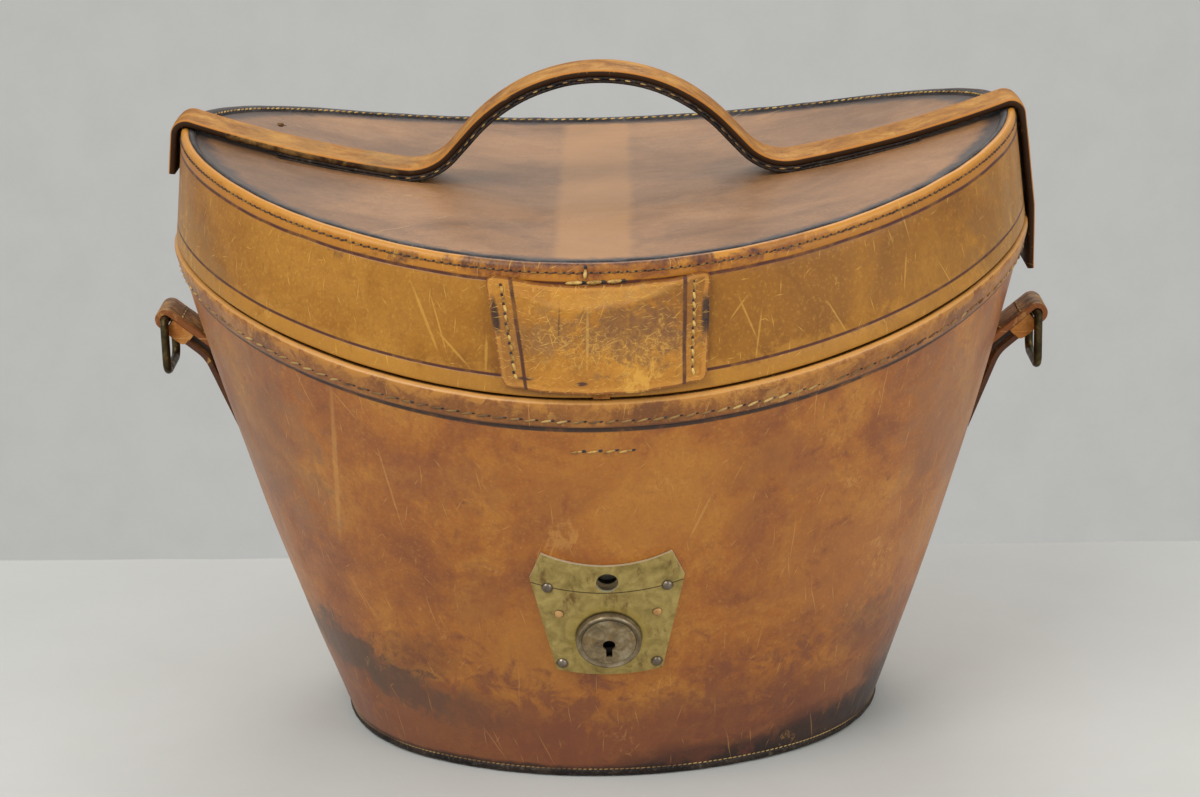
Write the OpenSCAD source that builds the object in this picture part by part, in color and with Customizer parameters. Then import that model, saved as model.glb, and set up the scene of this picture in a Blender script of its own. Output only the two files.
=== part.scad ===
// Leather bucket hat box with a saddle-shaped lid, a riveted brass lock,
// an arched carrying handle and a strap ring on each side.
// Millimetres. +Z is up, the front with the lock faces -Y, and the origin
// is at the middle of the underside.

/* [Body] */
// Half the length of the oval base
base_half_length = 108.5; // [102:0.5:114]
// Half the width of the oval base
base_half_width = 88.5; // [82:0.5:94]
// How far the wall spreads outward from the base to the ends of the rim
wall_spread = 60.5; // [52:0.5:68]
// Bulge of the wall between the base and the rim
wall_bulge = 3.6; // [2.5:0.1:5]
// Height of the rim at the middle of the front
front_height = 169; // [155:1:185]
// Radius of the saddle curve of the rim, seen from the front
rim_saddle_radius = 430; // [390:5:500]
// Thickness of the wall leather
wall_leather = 3; // [2.5:0.1:4]
// Thickness of the base board
base_thickness = 4; // [3:0.5:6]
// Thickness of the cloth lining
lining = 0.8; // [0.6:0.1:1.2]
// Thickness of the padded lining on the base
base_pad = 2; // [1.5:0.5:4]
// Radius of the welt sewn round the bottom edge
welt_radius = 2; // [1.5:0.1:2.5]

/* [Rim] */
// Height of the leather band sewn round the rim
rim_band_height = 11.5; // [9:0.5:14]
// Thickness of the rim band
rim_band_leather = 1.2; // [1:0.1:1.6]
// Thickness of the leather folded over the top of the wall
rim_cap = 2; // [1.5:0.1:2.5]
// Height of the inner lip above the rim
lip_height = 9; // [6:0.5:12]
// Depth of the inner lip below the rim
lip_depth = 22; // [15:1:30]
// Thickness of the inner lip
lip_leather = 2; // [1.6:0.1:2.5]
// Gap between the inner lip and the lining of the lid
lip_gap = 1.5; // [1.4:0.1:1.8]

/* [Lid] */
// Height of the lid band at the middle of the front
lid_height = 49; // [42:1:56]
// How much the lid band leans inward for each millimetre of height
lid_lean = 0.11; // [0.06:0.01:0.14]
// Radius of the saddle curve of the lid, seen from the front
lid_saddle_radius = 480; // [440:5:540]
// Gap between the rim and the closed lid
lid_gap = 0.5; // [0.4:0.1:0.8]
// Thickness of the leather of the lid band
lid_leather = 3; // [2.5:0.1:3.5]
// Thickness of the top panel
panel_leather = 3; // [2.5:0.1:4]
// Depth of the top panel below the edge of the lid band
panel_drop = 2.5; // [2.2:0.1:3]
// Width of the black welt between the lid band and the top panel
edge_welt_width = 3.4; // [2.5:0.1:4.5]
// Thickness of the stiffened lining under the top panel
panel_lining = 1.2; // [0.8:0.1:2]

/* [Front tab] */
// Width of the tab on the front of the lid band
tab_width = 76; // [68:1:84]
// Height of the tab
tab_height = 38; // [34:0.5:40]
// Height of the lower edge of the tab above the rim
tab_lift = 2.8; // [2:0.1:4]
// Thickness of the tab leather
tab_leather = 2.2; // [1.8:0.1:2.6]
// Width of each side of the tab that is sewn flat to the band
tab_margin = 8; // [6:0.5:11]
// Gap behind the raised middle of the tab
tab_tunnel = 1.4; // [1.2:0.1:1.8]
// Width of the strip that covers the seam of the lid band
seam_width = 6; // [4:0.5:9]
// Thickness of the seam strip
seam_leather = 0.9; // [0.6:0.1:1]

/* [Hinge] */
// Width of the leather hinge
hinge_width = 64; // [52:1:76]
// Height of the hinge leaf on the lid band
hinge_lid_height = 36; // [28:1:38]
// Height of the hinge leaf on the body
hinge_body_height = 42; // [34:1:52]
// Thickness of the hinge leather
hinge_leather = 2.4; // [2:0.1:2.8]
// Radius of the corners of the hinge leaves
hinge_corner = 9; // [5:0.5:14]

/* [Handle] */
// Width of the handle strap
handle_width = 26; // [22:0.5:30]
// Thickness of the handle strap
handle_leather = 2.6; // [2.2:0.1:3.2]
// Thickness of the filler under the strap
grip_filler = 1.3; // [1:0.1:1.5]
// Height of the strap over the lid edge at the top of the arch
handle_rise = 43.7; // [38:0.1:48]
// Radius of the arch that the hand holds
arch_radius = 68; // [62:1:72]
// Radius of the bend where the arch comes down to the lid
dip_radius = 18; // [14:0.5:22]
// Distance from the middle to where the strap lies on the lid
handle_reach = 78; // [76:0.5:90]
// Distance from the middle to the ends of the layers under the strap
grip_half_length = 126; // [110:1:140]
// Length of the worn left end of the strap below its fold
left_tail = 16; // [10:1:24]
// Length of the right end of the strap below the rim
right_tail = 24; // [14:1:28]

/* [Rings] */
// Height of the bar of the left ring
left_ring_height = 168; // [160:0.5:172]
// Height of the bar of the right ring
right_ring_height = 162; // [156:0.5:168]
// Distance of the ring bar from the wall
ring_reach = 15.3; // [14:0.1:18]
// Radius of the ring wire
ring_wire = 1.7; // [1.5:0.1:2]
// Height of the ring between the middles of its bars
ring_height = 21; // [18:0.5:24]
// Radius of the upper corners of the ring
ring_corner = 2.6; // [2.3:0.1:3.5]
// Radius of the lower corners of the ring
ring_foot_corner = 4.5; // [3:0.1:5]
// Width of the ring straps
ring_strap_width = 20; // [17:0.5:24]
// Thickness of the leather of the ring straps
ring_strap_leather = 2.4; // [2:0.1:2.8]
// Slope of the ring straps, down towards the wall
ring_strap_slope = 40; // [36:1:44]
// Thickness of the filler in the ring straps
ring_filler = 5.6; // [4.5:0.1:6]
// Length of the filler in the ring straps
ring_filler_length = 10.2; // [8:0.1:11]
// Length of the lower strap along the wall
ring_strap_tail = 31; // [26:0.5:34]
// Play of the ring bar in the strap
ring_play = 0.08; // [0.04:0.01:0.1]

/* [Lock] */
// Height of the middle of the lock boss above the base
lock_height = 67.5; // [60:0.5:80]
// Thickness of the brass plate
plate_thickness = 1.3; // [1:0.1:1.8]
// Half the width of the plate at its widest
plate_half_width = 28.9; // [27:0.1:30]
// Half the width of the plate at the top corners
plate_top_half_width = 24.3; // [22:0.1:25]
// Height of the top corners over the boss
plate_top = 39.4; // [37:0.1:42]
// Depth of the bottom of the plate under the boss
plate_bottom = 17.8; // [17:0.1:20]
// Height of the hasp hole over the boss
hasp_height = 26; // [24:0.1:28]
// Radius of the hasp hole
hasp_radius = 4.2; // [3.6:0.1:4.4]
// Outer radius of the boss
boss_radius = 12.6; // [12:0.1:13]
// Height of the boss over the plate
boss_height = 3.2; // [2.4:0.1:4]
// Radius of the turning plug in the boss
plug_radius = 10.2; // [9.5:0.1:10.8]
// Radius of the plug's shank through the wall
shank_radius = 4.5; // [4.3:0.1:5]
// Play of the plug in its bores
plug_play = 0.06; // [0.03:0.01:0.1]
// Radius of the round of the keyhole
keyhole_radius = 2.4; // [2:0.1:2.6]
// Length of the keyhole's slot under its round
keyhole_slot = 5.6; // [4:0.1:6]
// Width of the keyhole's slot
keyhole_width = 2.4; // [1.8:0.1:2.6]
// Distance of the crank pin from the middle of the plug
crank_radius = 3; // [2.8:0.1:3.1]
// Radius of the crank pin
crank_pin = 1.2; // [1:0.1:1.3]
// Thickness of the sliding bolt
bolt_thickness = 2.2; // [1.8:0.1:2.6]
// Half the width of the bolt's tongue
tongue_half_width = 4; // [3.4:0.1:4.2]
// Gap round the bolt
bolt_gap = 0.3; // [0.25:0.05:0.4]
// Thickness of the back cover of the lock
cover_thickness = 1.2; // [1:0.1:1.6]
// Radius of the rivet shanks
rivet_radius = 1; // [0.8:0.05:1.2]
// Radius of the steel rivet heads
rivet_head = 2.1; // [1.8:0.1:2.4]

/* [Hidden] */
// How far cutting shapes run past the lid and past the rim
lid_spare = 20;
rim_spare = 30;

$fn = 96;
fine = 360;
play = 0.05;
far = 400;

// The rim: the wall's end point fixes the height of the saddle's ends
rim_half_length = base_half_length + wall_spread;
function rise(x, radius) = radius - sqrt(radius * radius - x * x);
rim_end_height = front_height + rise(rim_half_length, rim_saddle_radius);

// Four arcs draw each oval. Neighbours meet on a line with the slope 45 to 28 through
// both centres, which are 53 apart, so sizes to a thousandth make them meet exactly.
function exact(x) = round(1000 * x) / 1000;
function oval(half_length, half_width) =
    let (step = (half_length - half_width) / 20)
    [28 * step, 45 * step, half_length - 28 * step, half_width + 45 * step];
base_oval = oval(base_half_length, base_half_width);

// The wall in section: a bulging curve drawn as straight steps
wall_steps = 6;
function bulged(t) = wall_spread * t + 4 * wall_bulge * t * (1 - t);
wall_table = [for (i = [0:wall_steps + 1])
    [exact(rim_end_height * i / wall_steps), exact(bulged(i / wall_steps))]];
function spread(z) = lookup(z, wall_table);
function wall_tilt(z) = atan((spread(z + 10) - spread(z - 10)) / 20);
flare = norm([wall_spread, rim_end_height]) / rim_end_height;

// The lid's own oval meets the rim at its ends and at the front
function tenth(x) = round(10 * x) / 10;
lid_half_width = tenth(base_half_width + spread(front_height));
lid_half_length = tenth(rim_half_length + lid_lean * (rim_end_height - front_height));
lid_oval = oval(lid_half_length, lid_half_width);

lid_top_height = front_height + lid_height;
skin = wall_leather + lining;
lid_skin = lid_leather + lining;

right = [0];
back = [1];
left = [2];
front = [3];
around = [0, 1, 2, 3];

// Sweeps a flat section round some arcs of an oval. The section reads $arc, the arc's radius.
module sweep(o, sides) {
    end = [o[0] + 28 * 8, 45 * 8];
    centres = [[o[0], 0], [0, -o[1]], [-o[0], 0], [0, o[1]]];
    wedges = [
        [[o[0], 0], [end[0], -end[1]], [end[0], end[1]]],
        [[o[0], 0], [end[0], end[1]], [-end[0], end[1]], [-o[0], 0]],
        [[-o[0], 0], [-end[0], end[1]], [-end[0], -end[1]]],
        [[-o[0], 0], [-end[0], -end[1]], [end[0], -end[1]], [o[0], 0]]];
    for (i = sides)
        intersection() {
            translate(centres[i])
                rotate_extrude($fn = 240) {
                    $arc = i % 2 == 0 ? o[2] : o[3];
                    children();
                }
            linear_extrude(far)
                polygon(wedges[i]);
        }
}

// The wall's line at a distance from the leather's outer face
function wall_line(offset, low, high) =
    [for (z = concat([low], [for (p = wall_table) if (p[0] > low && p[0] < high) p[0]], [high]))
        [exact(spread(z) + offset * flare), z]];
function reversed(points) = [for (i = [len(points) - 1:-1:0]) points[i]];

// A layer of the wall between two distances from the leather's outer face
module wall_layer(inner, outer, low, high, sides = around) {
    sweep(base_oval, sides)
        polygon([for (p = concat(wall_line(outer, low, high), reversed(wall_line(inner, low, high))))
            [$arc + p[0], p[1]]]);
}

// All that lies within a distance from the wall's outer face
module wall_fill(outer, low, high) {
    sweep(base_oval, around)
        polygon(concat([[0, low]], [for (p = wall_line(outer, low, high)) [$arc + p[0], p[1]]], [[0, high]]));
}

function lean(z) = lid_lean * (z - front_height);

// A layer of the lid band, measured level from its outer face
module lid_layer(inner, outer, low, high, sides = around) {
    sweep(lid_oval, sides)
        polygon([
            [$arc + exact(inner - lean(low)), low],
            [$arc + exact(outer - lean(low)), low],
            [$arc + exact(outer - lean(high)), high],
            [$arc + exact(inner - lean(high)), high]]);
}

module lid_fill(outer, low, high) {
    sweep(lid_oval, around)
        polygon([
            [0, low],
            [$arc + exact(outer - lean(low)), low],
            [$arc + exact(outer - lean(high)), high],
            [0, high]]);
}

// The space above a saddle curve: a lying cylinder whose lowest line is at the height
module above(height, radius) {
    translate([0, 0, height + radius])
        rotate([90, 0, 0])
            cylinder(r = radius, h = far, center = true, $fn = fine);
}

module above_rim(height) {
    above(front_height + height, rim_saddle_radius);
}

// The space above a curve that runs a depth below the lid's edge, the same all along
module above_lid(depth) {
    translate([0, 0, lid_top_height + lid_saddle_radius])
        rotate([90, 0, 0])
            cylinder(r = lid_saddle_radius + depth, h = far, center = true, $fn = fine);
}

// A slab between two heights over the rim, seen from the front
module rim_slab(low, high) {
    difference() {
        intersection() {
            children();
            above_rim(low);
        }
        above_rim(high);
    }
}

// The points [x, z, heading] of a path from the origin along +X. A step of [length] goes
// straight, and one of [radius, turn] bends by turn degrees, up where it is positive.
function bend_step(radius) = 2 * acos(1 - 0.03 / (radius + 3));
function walk(steps, x = 0, z = 0, heading = 0, i = 0) =
    i == len(steps) ? [[x, z, heading]] :
    let (
        bends = len(steps[i]) == 2,
        turn = bends ? steps[i][1] : 0,
        r = bends ? sign(turn) * steps[i][0] : 0,
        run = bends ? 0 : steps[i][0],
        count = bends ? max(1, ceil(abs(turn) / bend_step(steps[i][0]))) : 1
    )
    concat(
        [for (k = [0:count - 1])
            let (a = heading + turn * k / count)
            [x + r * (sin(a) - sin(heading)), z + r * (cos(heading) - cos(a)), a]],
        walk(steps,
            x + run * cos(heading) + r * (sin(heading + turn) - sin(heading)),
            z + run * sin(heading) + r * (cos(heading) - cos(heading + turn)),
            heading + turn, i + 1));

// The points at a distance over a path
function over(path, distance) =
    [for (p = path) [p[0] - distance * sin(p[2]), p[1] + distance * cos(p[2])]];

// A strip of leather over a path, between two distances from it
module strip(path, low, high, width) {
    rotate([90, 0, 0])
        linear_extrude(width, center = true)
            polygon(concat(over(path, low), reversed(over(path, high))));
}

// A flat outline with rounded corners
module rounded(width, low, high, corner) {
    translate([-width / 2, low + corner])
        square([width, high - low - 2 * corner]);
    translate([-width / 2 + corner, low])
        square([width - 2 * corner, high - low]);
    for (x = [-1, 1], z = [low + corner, high - corner])
        translate([x * (width / 2 - corner), z])
            circle(r = corner);
}

// Stands an outline up in the XZ plane and drives it through the back or the front wall
module through(side) {
    translate([0, side > 0 ? far / 2 : 0, 0])
        rotate([90, 0, 0])
            linear_extrude(far / 2)
                children();
}

/* Body */

module base_board() {
    color("saddlebrown")
        wall_fill(0, 0, base_thickness);
}

module base_welt() {
    color([0.12, 0.08, 0.06])
        sweep(base_oval, around)
            difference() {
                translate([$arc + exact(spread(welt_radius)) + exact(0.6 * welt_radius), welt_radius])
                    circle(r = welt_radius);
                polygon([for (p = concat(wall_line(0, 0, 12), [[-12, 12], [-12, 0]])) [$arc + p[0], p[1]]]);
            }
}

module base_pad_lining() {
    color("burlywood")
        wall_fill(-skin, base_thickness, base_thickness + base_pad);
}

module body_shell() {
    color([0.60, 0.33, 0.14])
        difference() {
            wall_layer(-wall_leather, 0, base_thickness, rim_end_height + 10);
            above_rim(-rim_cap);
            lock_bores(play);
        }
}

module body_lining() {
    color("burlywood")
        difference() {
            wall_layer(-skin, -wall_leather, base_thickness, rim_end_height + 10);
            above_rim(-rim_cap);
            lock_bores(play);
        }
}

module body_rim_band() {
    color([0.66, 0.38, 0.17])
        difference() {
            rim_slab(-rim_band_height, 0)
                wall_layer(-skin, rim_band_leather, front_height - rim_spare, rim_end_height + 10);
            difference() {
                wall_layer(-skin - 5, 0, front_height - 40, rim_end_height + 12);
                above_rim(-rim_cap);
            }
            intersection() {
                wall_layer(0, 8, front_height - 40, front_height + rim_spare, back);
                through(1)
                    translate([-hinge_width / 2 - play, front_height - 40])
                        square([hinge_width + 2 * play, 80]);
            }
        }
}

module rim_lining_band() {
    color([0.50, 0.28, 0.13])
        rim_slab(-lip_depth, -1.5)
            wall_layer(-skin - lip_leather, -skin, front_height - 60, rim_end_height + 10);
}

module inner_lip() {
    color([0.50, 0.28, 0.13])
        rim_slab(-1.5, lip_height)
            lid_layer(-lid_skin - lip_gap - lip_leather, -lid_skin - lip_gap,
                front_height - rim_spare, rim_end_height + rim_spare);
}

module hinge_body_leaf() {
    color([0.46, 0.25, 0.11])
        difference() {
            intersection() {
                wall_layer(0, hinge_leather,
                    front_height - hinge_body_height - 10, front_height + rim_spare, back);
                through(1)
                    rounded(hinge_width, front_height - hinge_body_height,
                        front_height + rim_spare, hinge_corner);
            }
            above_rim(-lid_gap);
        }
}

/* Ring straps and rings */

// A point of the strap's frame: along the strap towards the wall, and square to it
module at_ring(height) {
    translate([base_half_length + spread(height) + ring_reach, 0, height])
        rotate([0, 180 - ring_strap_slope, 0])
            mirror([0, 0, 1])
                children();
}

bore = ring_wire + ring_play;
strap_far = bore + ring_strap_leather;
filler_start = 2.6;
tail_face = 1;

// The strap that goes down to the wall from its loop round the ring's bar
module ring_strap(height) {
    difference() {
        at_ring(height)
            rotate([90, 0, 0])
                linear_extrude(ring_strap_width, center = true)
                    difference() {
                        union() {
                            circle(r = strap_far);
                            translate([0, bore])
                                square([26, ring_strap_leather]);
                            translate([0, -strap_far])
                                square([1.2, 2 * strap_far]);
                        }
                        circle(r = bore);
                        translate([1.2, -far])
                            square([far, far + bore]);
                    }
        wall_layer(-25, 0, 60, rim_end_height, right);
    }
}

// The second strap, from the filler down along the wall
module ring_tail(height) {
    path = walk([[7.4], [10 + tail_face, -27.7], [ring_strap_tail]]);
    difference() {
        at_ring(height)
            translate([filler_start + ring_filler_length, 0, 0])
                strip(path, -tail_face - ring_strap_leather, -tail_face, ring_strap_width);
        wall_layer(-25, 0, 60, rim_end_height, right);
    }
}

module ring_filler(height) {
    at_ring(height)
        translate([filler_start, -ring_strap_width / 2, bore - ring_filler])
            cube([ring_filler_length, ring_strap_width, ring_filler]);
}

module ring_strap_right() {
    color([0.55, 0.29, 0.12])
        ring_strap(right_ring_height);
}

module ring_strap_left() {
    color([0.55, 0.29, 0.12])
        mirror([1, 0, 0])
            ring_strap(left_ring_height);
}

module ring_tail_right() {
    color([0.55, 0.29, 0.12])
        ring_tail(right_ring_height);
}

module ring_tail_left() {
    color([0.55, 0.29, 0.12])
        mirror([1, 0, 0])
            ring_tail(left_ring_height);
}

module ring_filler_right() {
    color([0.85, 0.45, 0.15])
        ring_filler(right_ring_height);
}

module ring_filler_left() {
    color([0.85, 0.45, 0.15])
        mirror([1, 0, 0])
            ring_filler(left_ring_height);
}

ring_bar = ring_strap_width / 2 + 0.3;

module ring(height) {
    leg = ring_bar + ring_corner;
    translate([base_half_length + spread(height) + ring_reach, 0, height]) {
        rotate([90, 0, 0])
            cylinder(r = ring_wire, h = 2 * ring_bar, center = true);
        translate([0, 0, -ring_height])
            rotate([90, 0, 0])
                cylinder(r = ring_wire, h = 2 * (leg - ring_foot_corner), center = true);
        for (side = [0, 1])
            mirror([0, side, 0]) {
                translate([0, leg, -ring_height + ring_foot_corner])
                    cylinder(r = ring_wire, h = ring_height - ring_corner - ring_foot_corner);
                translate([0, ring_bar, -ring_corner])
                    rotate([90, 0, 90])
                        rotate_extrude(start = 0, angle = 90)
                            translate([ring_corner, 0])
                                circle(r = ring_wire);
                translate([0, leg - ring_foot_corner, -ring_height + ring_foot_corner])
                    rotate([90, 0, 90])
                        rotate_extrude(start = 270, angle = 90)
                            translate([ring_foot_corner, 0])
                                circle(r = ring_wire);
            }
    }
}

module ring_right() {
    color([0.30, 0.26, 0.18])
        ring(right_ring_height);
}

module ring_left() {
    color([0.30, 0.26, 0.18])
        mirror([1, 0, 0])
            ring(left_ring_height);
}

/* Lock, drawn in its own frame: +X right, +Y up the wall, +Z out of the wall */

lock_tilt = wall_tilt(lock_height);

module at_lock() {
    translate([0, -base_half_width - spread(lock_height), lock_height])
        rotate([90 + lock_tilt, 0, 0])
            children();
}

rivet_places = [[-22.4, 23.9], [22.4, 23.9], [-17.9, -12.2], [17.9, -12.2]];
pin_places = [[-18.4, 11.7], [18.4, 11.7]];
keyhole_floor = 0.2;
bolt_back = 9.4;
bolt_front = bolt_back - bolt_thickness;
shank_end = bolt_front - bolt_gap;
pocket_back = bolt_back + bolt_gap;
bolt_half_width = 6.5;
travel = 2 * crank_radius * sin(45);
case_half_width = 25.5;
case_bottom = -16.5;
case_top = 31.5;

// Holes through the wall and the plate: hasp hole, plug shank and rivets
module lock_bores(loose) {
    at_lock() {
        translate([0, hasp_height, -40])
            cylinder(r = hasp_radius, h = 60);
        translate([0, 0, -40])
            cylinder(r = shank_radius + plug_play, h = 60);
        for (p = concat(rivet_places, pin_places))
            translate([p[0], p[1], -40])
                cylinder(r = rivet_radius + loose, h = 60, $fn = 32);
    }
}

plate_hollow = 5.8;
plate_arc = (pow(plate_top_half_width, 2) + pow(plate_hollow, 2)) / (2 * plate_hollow);
plate_foot = plate_half_width - 8.8;
plate_foot_drop = 2.4;
plate_foot_arc = (pow(plate_foot, 2) + pow(plate_foot_drop, 2)) / (2 * plate_foot_drop);

module plate_outline() {
    polygon(concat(
        [for (i = [-8:8])
            let (x = plate_foot * i / 8)
            [x, rise(x, plate_foot_arc) - plate_bottom]],
        [[plate_half_width, plate_top - 11.3],
            [plate_top_half_width, plate_top],
            [-plate_top_half_width, plate_top],
            [-plate_half_width, plate_top - 11.3]]));
}

module lock_plate() {
    color([0.60, 0.55, 0.32])
        difference() {
            intersection() {
                wall_layer(0, plate_thickness, lock_height - 40, lock_height + 60, front);
                at_lock()
                    translate([0, 0, -15])
                        linear_extrude(30)
                            plate_outline();
            }
            at_lock()
                translate([0, plate_top - plate_hollow + plate_arc, -20])
                    cylinder(r = plate_arc, h = 40);
            lock_bores(play);
        }
}

module lock_boss() {
    color([0.55, 0.55, 0.52])
        difference() {
            at_lock()
                translate([0, 0, -3])
                    cylinder(r = boss_radius, h = 3 + plate_thickness + boss_height);
            wall_layer(-25, plate_thickness, lock_height - 30, lock_height + 30, front);
            at_lock()
                translate([0, 0, -10])
                    cylinder(r = plug_radius + plug_play, h = 40);
        }
}

module lock_case() {
    color([0.45, 0.45, 0.43])
        difference() {
            at_lock()
                translate([-case_half_width, case_bottom, -pocket_back])
                    cube([2 * case_half_width, case_top - case_bottom, pocket_back + 5]);
            wall_layer(-skin, 30, lock_height - 40, lock_height + 50, front);
            lock_bores(play);
            at_lock() {
                translate([-bolt_half_width - bolt_gap, -8.5, -pocket_back - 1])
                    cube([2 * (bolt_half_width + bolt_gap), 16.5, 4.5]);
                translate([-tongue_half_width - bolt_gap, 0, -pocket_back - 1])
                    cube([2 * (tongue_half_width + bolt_gap), hasp_height + 4.6, 4.5]);
            }
        }
}

module lock_cover() {
    color([0.50, 0.50, 0.48])
        at_lock()
            difference() {
                translate([-case_half_width, case_bottom, -pocket_back - cover_thickness])
                    cube([2 * case_half_width, case_top - case_bottom, cover_thickness]);
                for (p = concat(rivet_places, pin_places))
                    translate([p[0], p[1], -40])
                        cylinder(r = rivet_radius + play, h = 60, $fn = 32);
            }
}

rivet_back = pocket_back + cover_thickness + 0.6;

// Seat of a rivet head: how far the curved plate falls away at the rivet
function plate_fall(x) = rise(x, base_oval[3] + spread(lock_height));

module lock_rivets() {
    color([0.62, 0.62, 0.60])
        for (p = rivet_places) {
            difference() {
                at_lock()
                    translate([p[0], p[1], plate_thickness - plate_fall(p[0]) - 1])
                        intersection() {
                            translate([0, 0, 1.2 - rivet_head])
                                sphere(r = rivet_head + 0.7, $fn = 48);
                            cylinder(r = rivet_head, h = 6, $fn = 48);
                        }
                wall_layer(-25, plate_thickness, lock_height - 40, lock_height + 50, front);
            }
            at_lock()
                translate([p[0], p[1], -rivet_back])
                    cylinder(r = rivet_radius, $fn = 32,
                        h = rivet_back + plate_thickness - plate_fall(p[0]) + 0.6);
        }
}

module lock_pins() {
    color([0.72, 0.42, 0.28])
        for (p = pin_places)
            at_lock()
                translate([p[0], p[1], -rivet_back])
                    cylinder(r = rivet_radius, $fn = 32,
                        h = rivet_back + plate_thickness - plate_fall(p[0]) + 0.35);
}

module lock_plug() {
    color([0.58, 0.57, 0.53])
        at_lock() {
            difference() {
                union() {
                    translate([0, 0, plate_thickness + 0.2])
                        cylinder(r = plug_radius, h = boss_height - 0.9);
                    translate([0, 0, -shank_end])
                        cylinder(r = shank_radius, h = shank_end + plate_thickness + 1);
                }
                translate([0, -1.6, keyhole_floor])
                    cylinder(r = keyhole_radius, h = 12, $fn = 48);
                translate([-keyhole_width / 2, -1.6 - keyhole_slot, plate_thickness + 0.7])
                    cube([keyhole_width, keyhole_slot, 12]);
            }
            rotate([0, 0, 45])
                translate([crank_radius, 0, -bolt_back])
                    cylinder(r = crank_pin, h = bolt_back - shank_end + 1, $fn = 48);
        }
}

slot_middle = crank_radius * (1 + cos(45)) / 2;
slot_half = crank_radius * (1 - cos(45)) / 2;
slot_half_height = crank_pin + bolt_gap;

module lock_bolt() {
    color([0.50, 0.49, 0.46])
        at_lock()
            translate([0, 0, -bolt_back])
                difference() {
                    union() {
                        translate([-bolt_half_width, travel / 2 - 5.6, 0])
                            cube([2 * bolt_half_width, 10.5, bolt_thickness]);
                        translate([-tongue_half_width, 0, 0])
                            cube([2 * tongue_half_width, hasp_height, bolt_thickness]);
                    }
                    for (side = [-1, 1])
                        translate([slot_middle + side * slot_half, travel / 2, -1])
                            cylinder(r = slot_half_height, h = bolt_thickness + 2, $fn = 48);
                    translate([slot_middle - slot_half, travel / 2 - slot_half_height, -1])
                        cube([2 * slot_half, 2 * slot_half_height, bolt_thickness + 2]);
                }
}

/* Lid */

module lid_band() {
    color([0.72, 0.46, 0.16])
        difference() {
            intersection() {
                lid_layer(-lid_leather, 0, front_height - 10, rim_end_height + lid_height + lid_spare);
                above_rim(lid_gap);
            }
            above_lid(0);
        }
}

module lid_top() {
    color([0.40, 0.24, 0.17])
        difference() {
            intersection() {
                lid_fill(-lid_leather, lid_top_height - lid_spare, rim_end_height + lid_height + lid_spare);
                above_lid(panel_drop + panel_leather);
            }
            above_lid(panel_drop);
        }
}

module lid_edge_welt() {
    color([0.10, 0.08, 0.07])
        difference() {
            intersection() {
                lid_layer(-lid_leather - edge_welt_width, -lid_leather,
                    lid_top_height - lid_spare, rim_end_height + lid_height + lid_spare);
                above_lid(panel_drop);
            }
            above_lid(0);
        }
}

module lid_lining() {
    color("burlywood")
        difference() {
            intersection() {
                lid_layer(-lid_skin, -lid_leather,
                    front_height - 10, rim_end_height + lid_height + lid_spare);
                above_rim(lid_gap);
            }
            above_lid(panel_drop + panel_leather);
        }
}

module lid_top_lining() {
    color("burlywood")
        difference() {
            intersection() {
                lid_fill(-lid_skin, lid_top_height - lid_spare, rim_end_height + lid_height + lid_spare);
                above_lid(panel_drop + panel_leather + panel_lining);
            }
            above_lid(panel_drop + panel_leather);
        }
}

module front_tab() {
    middle = tab_width / 2 - tab_margin;
    color([0.70, 0.44, 0.18]) {
        // Raised middle
        rim_slab(tab_lift, tab_lift + tab_height)
            intersection() {
                lid_layer(tab_tunnel, tab_tunnel + tab_leather, front_height - 10, lid_top_height + 5, front);
                through(-1)
                    translate([-middle, front_height - 10])
                        square([2 * middle, lid_height + 20]);
            }
        // Sewn margins
        rim_slab(tab_lift, tab_lift + tab_height)
            intersection() {
                lid_layer(0, tab_leather, front_height - 10, lid_top_height + 5, front);
                through(-1)
                    for (side = [0, 1])
                        mirror([side, 0])
                            translate([middle, front_height - 10])
                                square([tab_margin, lid_height + 20]);
            }
    }
}

module seam_strip() {
    color([0.52, 0.30, 0.12])
        rim_slab(lid_gap + 0.2, tab_lift + tab_height - 4)
            intersection() {
                lid_layer(0, seam_leather, front_height - 10, lid_top_height + 5, front);
                through(-1)
                    translate([-seam_width / 2, front_height - 10])
                        square([seam_width, lid_height + 20]);
            }
}

module hinge_lid_leaf() {
    color([0.46, 0.25, 0.11])
        intersection() {
            lid_layer(0, hinge_leather, front_height - 10, lid_top_height + 5, back);
            through(1)
                rounded(hinge_width, front_height - rim_spare, front_height + hinge_lid_height, hinge_corner);
            above_rim(2 * lid_gap);
        }
}

/* Handle */

// The face between the strap and the layers under it runs level with the lid's edge
lie_angle = asin(handle_reach / lid_saddle_radius);
dip_x = handle_reach - dip_radius * sin(lie_angle);
dip_z = lid_saddle_radius - (lid_saddle_radius - dip_radius) * cos(lie_angle);
arch_z = handle_rise - arch_radius;
between = norm([dip_x, dip_z - arch_z]);
arch_run = sqrt(between * between - pow(arch_radius + dip_radius, 2));
arch_angle = atan2(arch_radius + dip_radius, arch_run) - atan2(dip_z - arch_z, dip_x);

// The fold at the lid's edge keeps the hanging ends clear of the rim band
hang_clear = rim_band_leather + 0.6;
fold_radius = hang_clear / 1.4;
lean_angle = atan(lid_lean);
band_reach = lid_half_length * cos(lean_angle) - lid_height * sin(lean_angle)
    - lid_saddle_radius * sin(lean_angle);
fold_angle = lean_angle + asin((hang_clear - fold_radius + band_reach) / (lid_saddle_radius + fold_radius));
fold_end = lid_top_height + lid_saddle_radius - (lid_saddle_radius + fold_radius) * cos(fold_angle)
    + fold_radius * sin(lean_angle);
right_run = (fold_end - rim_end_height - 4) / cos(lean_angle);

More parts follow.
